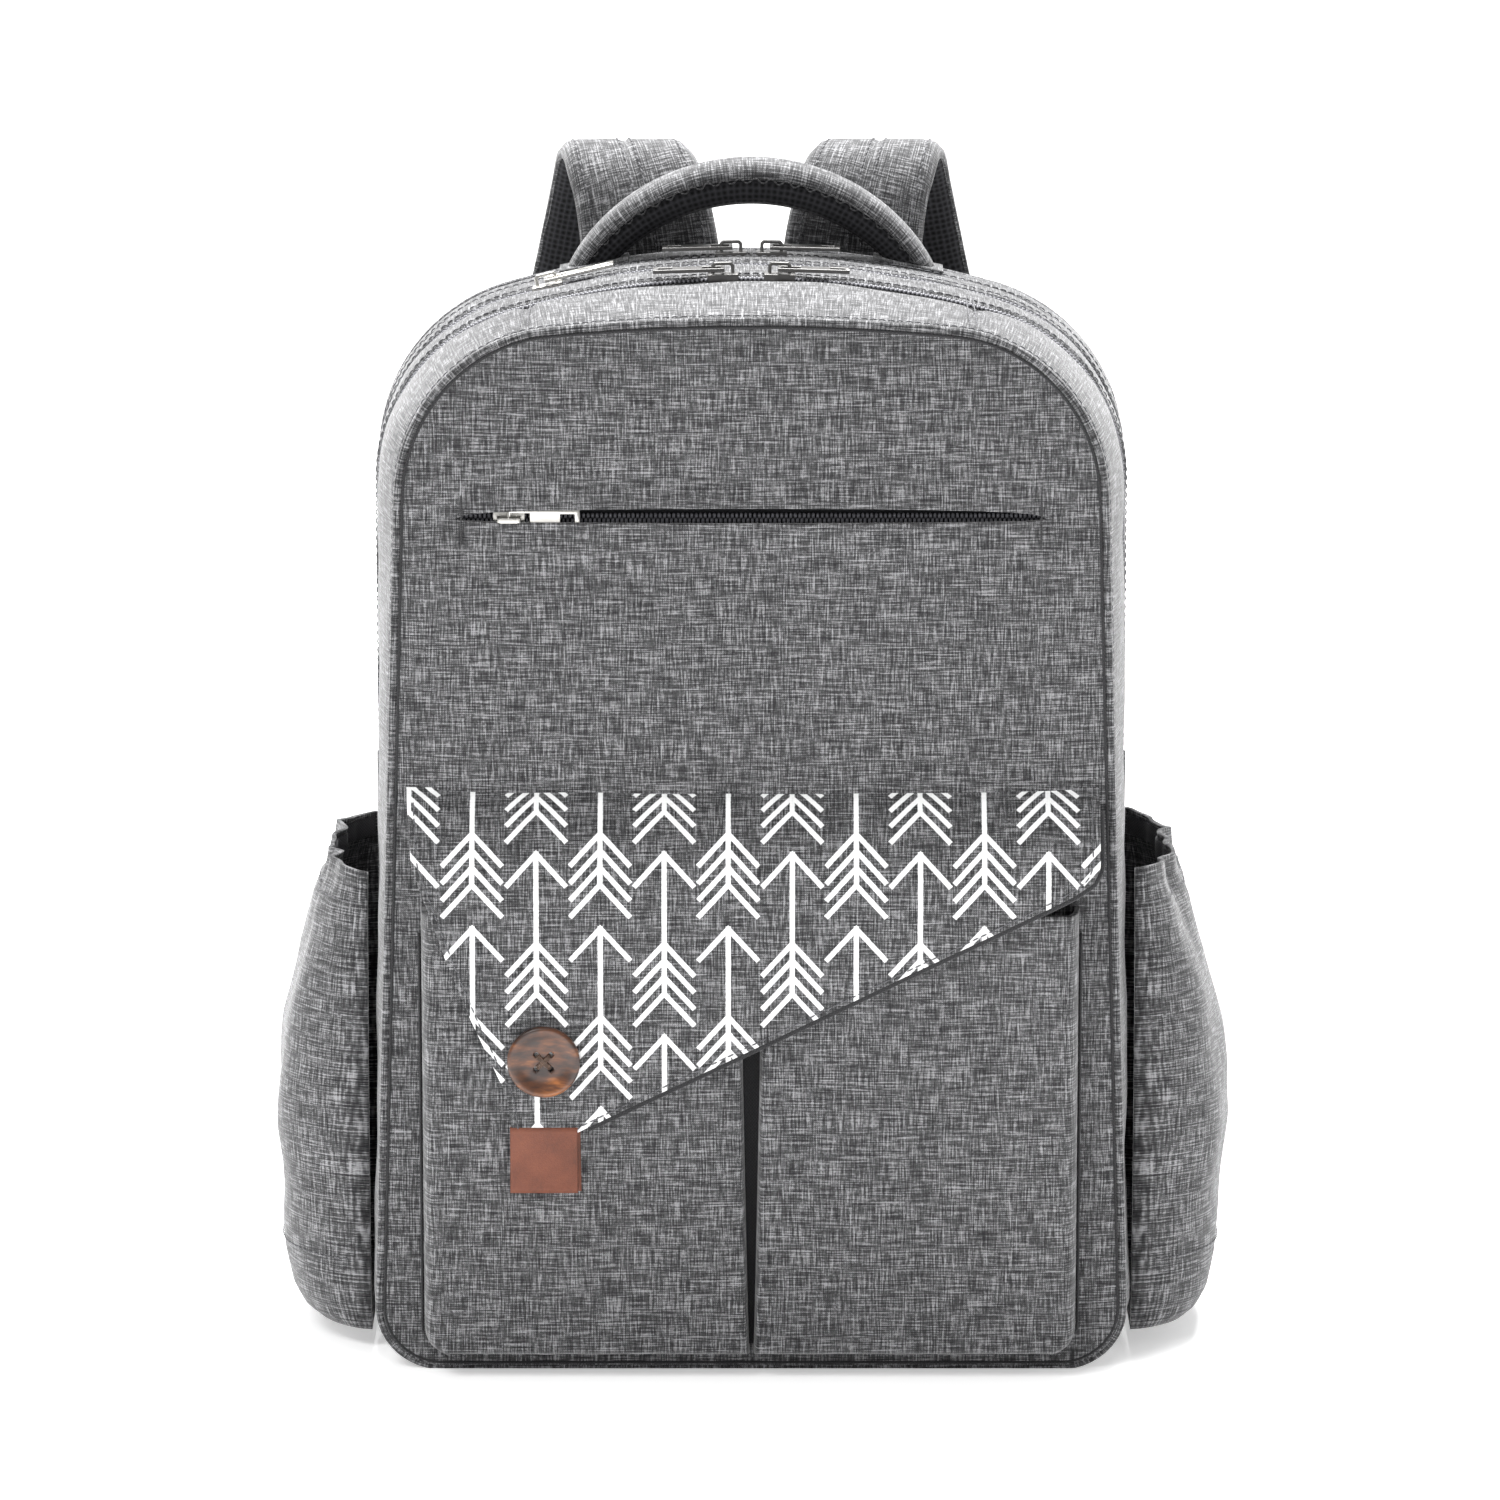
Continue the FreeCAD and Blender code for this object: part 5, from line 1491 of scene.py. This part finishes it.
    def drill(self, disc: bpy.types.Object, x: float, z: float, back: float, face: float) -> None:
        """Cut one thread hole through the button."""
        angle = np.linspace(0, 2 * math.pi, 20, endpoint=False)
        bore = 1.15 * MM
        ring = np.stack([x + bore * np.cos(angle), np.zeros(20), z + bore * np.sin(angle)], axis=1)
        ends = [ring + [0, level, 0] for level in (face - 2 * MM, back + 2 * MM)]
        bit = cloth_mesh("drill", np.stack(ends), wrap=(False, True), caps=True)
        cut = disc.modifiers.new("hole", "BOOLEAN")
        cut.operation = "DIFFERENCE"
        cut.solver = "EXACT"
        cut.object = bit
        bpy.context.view_layer.objects.active = disc
        bpy.ops.object.modifier_apply(modifier=cut.name)
        bpy.data.objects.remove(bit)

    def leather_tab(self) -> None:
        """A strip of leather folded on itself, so that its edge shows two layers."""
        low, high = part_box("leather_tab")
        width, height = high[0] - low[0], high[2] - low[2] + 2 * MM
        for name, lean, front, shift in (("front", 0.0, low[1] - 0.9 * MM, 0.0),
                                         ("back", 0.02, low[1] + 1.2 * MM, 0.9 * MM)):
            v = np.linspace(0, 1, 14)
            path = np.stack([np.full(14, (low[0] + high[0]) / 2 + shift) + lean * v * 20 * MM,
                             np.full(14, front + 0.5 * MM) + 0.5 * MM * np.sin(math.pi * v),
                             high[2] + 2 * MM - v * height], axis=1)
            section = rounded_box_section(width, 1.6 * MM, 0.55 * MM, 4)
            slab = sweep(f"leather_tab_{name}", path, np.tile([1.0, 0.0, 0.0], (14, 1)), section)
            dress(slab, Stuff.LEATHER)
            if name == "front":
                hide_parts("leather_tab")
            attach(slab, "flap")


# ------------------------------------------------------------------ side pockets

@dataclass
class SidePocket:
    """A bellied pouch on one side, gathered at its mouth by elastic in the hem."""

    side: str
    sign: int
    sizes: BagSizes

    def surface(self, s: Array, v: Array, inset: float = 0.0) -> Array:
        """Points of the pouch.

        Args:
            s: from -1 at the front edge to 1 at the back edge.
            v: from 0 at the foot to 1 at the mouth.
            inset: how far inside the skin.

        Returns:
            The reach from the bag's side follows a sine-like belly up the height and a
            flattened arc across; gathers deepen towards the mouth.
        """
        low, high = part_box(f"side_pocket_{self.side}")
        z = low[2] + v * (high[2] - low[2])
        half = high[1]
        belly = np.interp(v, [0, 0.02, 0.06, 0.13, 0.22, 0.4, 0.52, 0.62, 0.78, 0.9, 0.96, 1.0],
                          [24, 29, 33, 35.5, 37.2, 38.8, 38, 35.5, 29, 22, 16.5, 15]) * MM
        span = np.interp(v, [0, 0.1, 0.5, 0.9, 1.0], [0.9, 0.98, 1.0, 0.95, 0.9])
        round_off = np.clip(1 - np.abs(s) ** 3.4, 0, 1) ** 0.62
        seed = 71 + 10 * (self.sign > 0)
        pleats = 1.2 * np.sin(17 * s + 1.2 * self.sign) + 0.5 * np.sin(31 * s + 2)
        gather = np.exp(-(1 - v) / 0.1) * pleats
        folds = 1.9 * np.exp(-(1 - v) / 0.45) * np.sin(9 * s + 3 * v + self.sign)
        soft = 1.3 * ripple(s * half, z, seed) + (1.5 * v * (1 - v) if self.sign > 0 else 0.0)
        reach = belly * round_off + MM * round_off * (gather + folds + soft) - inset
        y = s * half * span
        z = z + MM * np.exp(-(1 - v) / 0.05) * 1.0 * np.sin(6 * s + self.sign)
        x = self.sign * (self.sizes.half - 0.5 * MM + np.maximum(reach, 0.3 * MM))
        return np.stack([x, y, z], axis=2)

    def build(self) -> None:
        """Make the pouch, its hem and its elastic."""
        node = f"side_pocket_{self.side}"
        v, s = np.meshgrid(np.linspace(0, 1, 110), np.linspace(-1, 1, 130), indexing="ij")
        low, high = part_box(node)
        flat = np.stack([s * (high[1] + 22 * MM), v * (high[2] - low[2])], axis=2)
        pouch = cloth_mesh(f"{node}_cloth", self.surface(s, v), flat)
        facing(pouch, (self.sign, 0, 0))
        thicken(pouch, 1.6 * MM)
        dress(pouch, Stuff.HEATHER)
        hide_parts(node)
        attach(pouch, "root")
        u, t = np.meshgrid(np.linspace(0, 1, 4), np.linspace(-1, 1, 40), indexing="ij")
        base = self.surface(t, np.zeros_like(t))
        base[:, :, 0] = self.sign * (self.sizes.half - 0.5 * MM) + u * (
            base[:, :, 0] - self.sign * (self.sizes.half - 0.5 * MM))
        foot = cloth_mesh(f"{node}_foot", base)
        facing(foot, (0, 0, -1))
        thicken(foot, 1.6 * MM)
        dress(foot, Stuff.HEATHER)
        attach(foot, "root")
        for name, level in (("hem", 0.93), ("foot_seam", 0.16)):
            line = np.linspace(-0.96, 0.96, 200)[None]
            path = self.surface(line, np.full_like(line, level), -0.25 * MM)[0]
            sewn = stitches(f"{node}_{name}_stitch", path, (self.sign, 0, 0))
            dress(sewn, Stuff.THREAD)
            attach(sewn, "root")
        line = np.linspace(-0.95, 0.95, 160)[None]
        path = self.surface(line, np.full_like(line, 0.965), 2.6 * MM)[0]
        section = rounded_box_section(8 * MM, 1.2 * MM, 0.4 * MM, 3)
        band = sweep(f"pocket_elastic_{self.side}_band", path, np.tile([0.0, 0.0, 1.0], (160, 1)), section)
        dress(band, Stuff.WEBBING)
        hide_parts(f"pocket_elastic_{self.side}")
        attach(band, "root")


# ------------------------------------------------------------------ handle and straps

@dataclass
class Handle:
    """The padded carry handle: cloth over the top, spacer mesh underneath."""

    sizes: BagSizes
    radius: float = 88 * MM
    foot_near: float = 48 * MM

    def path(self, count: int) -> Array:
        """The middle line: an arc that runs down into the seam at both feet."""
        grip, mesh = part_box("handle_grip"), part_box("handle_mesh")
        crest = (grip[1][2] + mesh[1][2] - 6 * MM) / 2
        centre = grip[1][2] - self.radius
        radius = crest - centre
        foot = self.sizes.top - 9 * MM
        start = math.asin((foot - centre) / radius)
        angle = np.linspace(math.pi - start, start, count)
        depth = (grip[0][1] + grip[1][1]) / 2
        return np.stack([radius * np.cos(angle), np.full(count, depth),
                         centre + radius * np.sin(angle)], axis=1)

    def build(self) -> None:
        """Make the two covers, their edge stitching and the sewn feet."""
        count = 90
        path = self.path(count)
        across = np.tile([0.0, 1.0, 0.0], (count, 1))
        angle = np.linspace(0, math.pi, 15)
        low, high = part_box("handle_grip")
        half = (high[1] - low[1]) / 2
        thin = 0.7 + 0.3 * np.sin(np.linspace(0, math.pi, count)) ** 0.6
        upper = np.stack([half * np.cos(angle), 7.6 * MM * np.sin(angle) ** 0.75 + 1.4 * MM], axis=1)
        lower = np.stack([(half - 1.2 * MM) * np.cos(angle), 1.6 * MM - 11.2 * MM * np.sin(angle) ** 0.75],
                         axis=1)
        covers = [("grip", upper, Stuff.HEATHER, "heather_cloth"),
                  ("mesh", lower, Stuff.MESH, "mesh_lining")]
        for name, section, stuff, slot in covers:
            sections = section[None] * thin[:, None, None]
            cover = sweep(f"handle_{name}_cover", path, across, sections)
            dress(cover, stuff)
            nodes = ["handle_grip", "handle_core"] if name == "grip" else ["handle_mesh"]
            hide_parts(*nodes)
            self.flex(cover)
        for name, sign in (("front", -1), ("back", 1)):
            wave = np.sin(np.linspace(0, 2 * math.pi * 26, 300))
            line = resample(path, 300)
            centre = np.array([0.0, path[0, 1], high[2] - self.radius])
            out = unit(line - centre)
            thick = np.interp(np.linspace(0, 1, 300), np.linspace(0, 1, count), thin)[:, None]
            line = line + sign * np.array([[0.0, half + 0.2 * MM, 0.0]]) * thick
            line = line + out * (1.1 * MM + 0.9 * MM * wave[:, None])
            sewn = stitches(f"handle_{name}_stitch", line, (0, sign, 0), 1.5 * MM, 1.6 * MM, 0.3 * MM)
            dress(sewn, Stuff.DARK_THREAD)
            self.flex(sewn)
        self.feet()

    def feet(self) -> None:
        """A sewn patch over each end, bent along the top of the bag."""
        steps = 16
        low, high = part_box("handle_tabs")
        arch = self.sizes.outline((low[1] + high[1]) / 2, inset=-1.6 * MM, foot=0.3, count=900)
        for name, sign in (("left", -1), ("right", 1)):
            place = arch[:, 0] * sign
            foot = resample(arch[(place > self.foot_near) & (place < high[0] - 2 * MM)], steps)
            patch = sweep(f"handle_foot_{name}", foot, np.tile([0.0, 1.0, 0.0], (steps, 1)),
                          rounded_box_section(high[1] - low[1], 1.6 * MM, 0.5 * MM, 3))
            dress(patch, Stuff.HEATHER)
            if sign < 0:
                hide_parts("handle_tabs")
            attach(patch, "root")

    def flex(self, obj: bpy.types.Object) -> None:
        """Bake the piece's world placement into its mesh."""
        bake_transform(obj)


@dataclass
class ShoulderStrap:
    """A padded strap that curls over behind, with its lock, webbing and anchor."""

    side: str
    sign: int
    sizes: BagSizes
    knots: tuple = ((-40, 80, 398), (-40, 79.5, 409), (-41, 80, 420), (-44, 83.5, 436), (-48, 92, 447),
                    (-51, 104, 451), (-53, 116, 446), (-55, 125, 430), (-60, 131, 400),
                    (-72, 134, 350), (-89, 134, 290), (-103, 131, 235), (-112, 126, 196))
    webbing: tuple = ((-112, 124.5, 186), (-113, 126.5, 176), (-114, 124.5, 164), (-118, 119, 140),
                      (-122, 110, 110), (-126, 98, 72), (-128, 88.5, 48), (-129, 84.5, 36))

    def line(self, knots: tuple, count: int) -> Array:
        """A smooth line through knots in millimetres, mirrored for the right side."""
        return smooth_curve([(-self.sign * x * MM, y * MM, z * MM) for x, y, z in knots], count)

    def hang(self, obj: bpy.types.Object) -> None:
        """A blend towards the back would carry it along.
        Bake the piece's world placement into its mesh.
        """
        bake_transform(obj)

    def build(self) -> None:
        """Make the strap from its pad down to its anchor."""
        body = f"strap_{self.side}"
        count = 120
        path = self.line(self.knots, count)
        across = np.tile([1.0, 0.0, 0.0], (count, 1))
        t = np.linspace(0, 1, count)
        wide = 28 * MM * np.interp(t, [0, 0.05, 0.2, 0.35, 0.9, 1], [1.0, 0.98, 0.88, 0.97, 1.0, 0.62])
        s = np.linspace(-1, 1, 21)
        puff = 4.6 * MM * (1 - np.abs(s) ** 6) ** 0.5 - 0.9 * MM * np.exp(-(s / 0.05) ** 2)
        outer = np.stack([s, -puff], axis=1)
        inner = np.stack([s[::-1] * 0.985, np.full(21, 3.4 * MM)], axis=1)
        section = np.vstack([outer, inner])
        sections = np.broadcast_to(section, (count, *section.shape)).copy()
        sections[:, :, 0] *= wide[:, None]
        pad = sweep(f"strap_pad_{self.side}_cloth", path, across, sections)
        dress(pad, Stuff.HEATHER)
        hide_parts(f"strap_pad_{self.side}")
        self.hang(pad)
        cushion = 3.4 * MM + 3.0 * MM * (1 - np.abs(s) ** 4) ** 0.5
        lining = np.vstack([np.stack([s * 0.94, np.full(21, 3.2 * MM)], axis=1),
                            np.stack([s[::-1] * 0.94, cushion], axis=1)])
        sections = np.broadcast_to(lining, (count, *lining.shape)).copy()
        sections[:, :, 0] *= wide[:, None]
        mesh = sweep(f"strap_mesh_{self.side}_cloth", path, across, sections)
        dress(mesh, Stuff.MESH)
        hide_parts(f"strap_mesh_{self.side}")
        self.hang(mesh)
        tangent = unit(np.gradient(path, axis=0))
        side = unit(across - (across * tangent).sum(axis=1, keepdims=True) * tangent)
        out = np.cross(tangent, side)
        for name, place in (("edge_a", -0.8), ("edge_b", 0.8), ("middle_a", -0.1), ("middle_b", 0.1)):
            line = path + side * (place * wide)[:, None] - out * 4.6 * MM * math.sqrt(1 - place ** 6)
            sewn = stitches(f"strap_{self.side}_{name}_stitch", line[3:-3], -out[3:-3])
            dress(sewn, Stuff.THREAD)
            self.hang(sewn)
        tape = self.line(self.webbing, 80)
        web = sweep(f"strap_webbing_{self.side}_tape", tape, np.tile([1.0, 0.0, 0.0], (80, 1)),
                    rounded_box_section(25 * MM, 1.6 * MM, 0.5 * MM, 3))
        dress(web, Stuff.WEBBING)
        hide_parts(f"strap_webbing_{self.side}")
        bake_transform(web)
        lock = refined_copy(f"ladder_lock_{self.side}", f"ladder_lock_{self.side}_moulding", 1.1 * MM, 3)
        dress(lock, Stuff.PLASTIC)
        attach(lock, body)
        low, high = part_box(f"ladder_lock_{self.side}")
        bar = np.stack([np.linspace(low[0] + MM, high[0] - MM, 8),
                        np.full(8, (low[1] + high[1]) / 2 - 1 * MM),
                        np.full(8, (low[2] + high[2]) / 2 - 3 * MM)], axis=1)
        rung = sweep(f"ladder_lock_{self.side}_rung", bar, np.tile([0.0, 0.0, 1.0], (8, 1)),
                     rounded_box_section(3 * MM, 2 * MM, 0.8 * MM, 4))
        dress(rung, Stuff.PLASTIC)
        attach(rung, body)
        low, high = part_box(f"strap_anchor_{self.side}")
        middle = (low[0] + high[0]) / 2
        tab = np.stack([np.linspace(middle, middle, 20), np.linspace(low[1], high[1], 20) - 0.5 * MM,
                        np.linspace(low[2], high[2], 20)], axis=1)
        widths = np.linspace(16, 13, 20) * MM
        section = rounded_box_section(2.0, 2.6 * MM, 0.8 * MM, 3)
        section[:, 0] = np.clip(section[:, 0], -1, 1)
        sections = np.broadcast_to(section, (20, *section.shape)).copy()
        sections[:, :, 0] *= widths[:, None]
        anchor = sweep(f"strap_anchor_{self.side}_tab", tab, np.tile([1.0, 0.0, 0.0], (20, 1)), sections)
        dress(anchor, Stuff.HEATHER)
        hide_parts(f"strap_anchor_{self.side}")
        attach(anchor, "root")


def build_yoke() -> None:
    """The cloth patch between the straps, with a box of stitching."""
    low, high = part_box("strap_yoke")
    v, u = np.meshgrid(spread(30), spread(80), indexing="ij")
    x = low[0] + u * (high[0] - low[0])
    z = low[2] + v * (high[2] - low[2])
    points = pillow_face(x, z, 0.0, 4 * MM, 1.4 * MM, 0.6 * MM, 81, 0.3 * MM)
    points[:, :, 1] = high[1] - points[:, :, 1]
    patch = cloth_mesh("strap_yoke_patch", points, np.stack([x, z], axis=2))
    facing(patch, (0, 1, 0))
    thicken(patch, 1.4 * MM)
    dress(patch, Stuff.HEATHER)
    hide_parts("strap_yoke")
    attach(patch, "root")
    inset = 4 * MM
    corners = [(low[0] + inset, low[2] + inset), (high[0] - inset, low[2] + inset),
               (high[0] - inset, high[2] - inset), (low[0] + inset, high[2] - inset)]
    loop = np.array([[x_at, high[1] + 0.5 * MM, z_at] for x_at, z_at in corners + corners[:1]])
    sewn = stitches("strap_yoke_stitch", resample(loop, 200), (0, 1, 0))
    dress(sewn, Stuff.THREAD)
    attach(sewn, "root")


# ------------------------------------------------------------------ studio

@dataclass
class Studio:
    """A pale floor that curves up behind, soft lights and a long lens."""

    distance: float = 3.0
    elevation: float = 12.5
    aim: tuple[float, float, float] = (-0.5 * MM, 0.0, 228.6 * MM)
    view: float = 589 * MM

    def build(self) -> None:
        """Make the floor, the lights and the camera."""
        self.floor()
        self.lights()
        self.camera()

    def floor(self) -> None:
        """One sheet: flat under the bag, turned up in a wide arc far behind it."""
        angle = np.linspace(0, math.pi / 2, 16)
        bend = 1.5
        flat = np.array([[-6.0, 0.0], [2.5, 0.0]])
        arc = np.stack([2.5 + bend * np.sin(angle), bend - bend * np.cos(angle)], axis=1)
        profile = np.vstack([flat, arc[1:], [[2.5 + bend, 5.0]]])
        x = np.linspace(-6, 6, 3)
        points = np.stack([np.stack([np.full(len(profile), at), profile[:, 0], profile[:, 1]], axis=1)
                           for at in x])
        sheet = cloth_mesh("studio_floor", points)
        facing(sheet, (0, -1, 1))
        material = bpy.data.materials.new("studio_paper")
        material.use_nodes = True
        shader = material.node_tree.nodes["Principled BSDF"]
        shader.inputs["Base Color"].default_value = linear("#f4f4f4")
        shader.inputs["Roughness"].default_value = 0.9
        shader.inputs["Emission Color"].default_value = (1, 1, 1, 1)
        shader.inputs["Emission Strength"].default_value = 0.42
        sheet.data.materials.append(material)

    def lights(self) -> None:
        """A bright even room, a large key above the front left and a fill on the right."""
        world = bpy.data.worlds.new("studio_room")
        bpy.context.scene.world = world
        world.use_nodes = True
        world.node_tree.nodes["Background"].inputs["Color"].default_value = (1, 1, 1, 1)
        world.node_tree.nodes["Background"].inputs["Strength"].default_value = 0.42
        bpy.context.scene.view_settings.view_transform = "Standard"
        for name, place, size, power in (("key", (-1.2, -1.7, 2.4), 1.1, 46),
                                         ("fill", (1.9, -1.6, 1.2), 1.8, 3),
                                         ("top", (0.0, 0.9, 2.4), 1.8, 250)):
            lamp = bpy.data.lights.new(f"{name}_light", "AREA")
            lamp.energy = power
            lamp.size = size
            obj = bpy.data.objects.new(f"{name}_light", lamp)
            obj.location = place
            obj.rotation_euler = (Vector((0, 0, 0.2)) - Vector(place)).to_track_quat("-Z", "Y").to_euler()
            bpy.context.scene.collection.objects.link(obj)

    def camera(self) -> None:
        """Look slightly down at the bag from straight in front."""
        lens = bpy.data.cameras.new("camera")
        lens.sensor_width = 36.0
        lens.lens = 36.0 * self.distance / self.view
        lens.clip_start, lens.clip_end = 0.1, 50.0
        camera = bpy.data.objects.new("camera", lens)
        tilt = math.radians(self.elevation)
        camera.location = Vector(self.aim) + self.distance * Vector((0, -math.cos(tilt), math.sin(tilt)))
        camera.rotation_euler = (math.pi / 2 - tilt, 0, 0)
        bpy.context.scene.collection.objects.link(camera)
        bpy.context.scene.camera = camera


def main() -> None:
    """Load the frame, dress every part of the bag and set the studio."""
    logging.basicConfig(level=logging.INFO, format="%(name)s: %(message)s")
    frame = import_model()
    NODES.update(frame["nodes"])
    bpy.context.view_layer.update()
    Studio().build()
    sizes = BagSizes.from_frame()
    parts = [("body", BagBody(sizes)), ("zips", Zips(sizes)), ("patch pockets", PatchPockets(sizes)),
             ("flap", Flap(sizes)), ("handle", Handle(sizes))]
    for side, sign in (("left", -1), ("right", 1)):
        parts.append((f"{side} side pocket", SidePocket(side, sign, sizes)))
        parts.append((f"{side} strap", ShoulderStrap(side, sign, sizes)))
    for name, part in parts:
        part.build()
        LOG.info("built the %s", name)
    build_yoke()


if __name__ == "__main__":
    main()
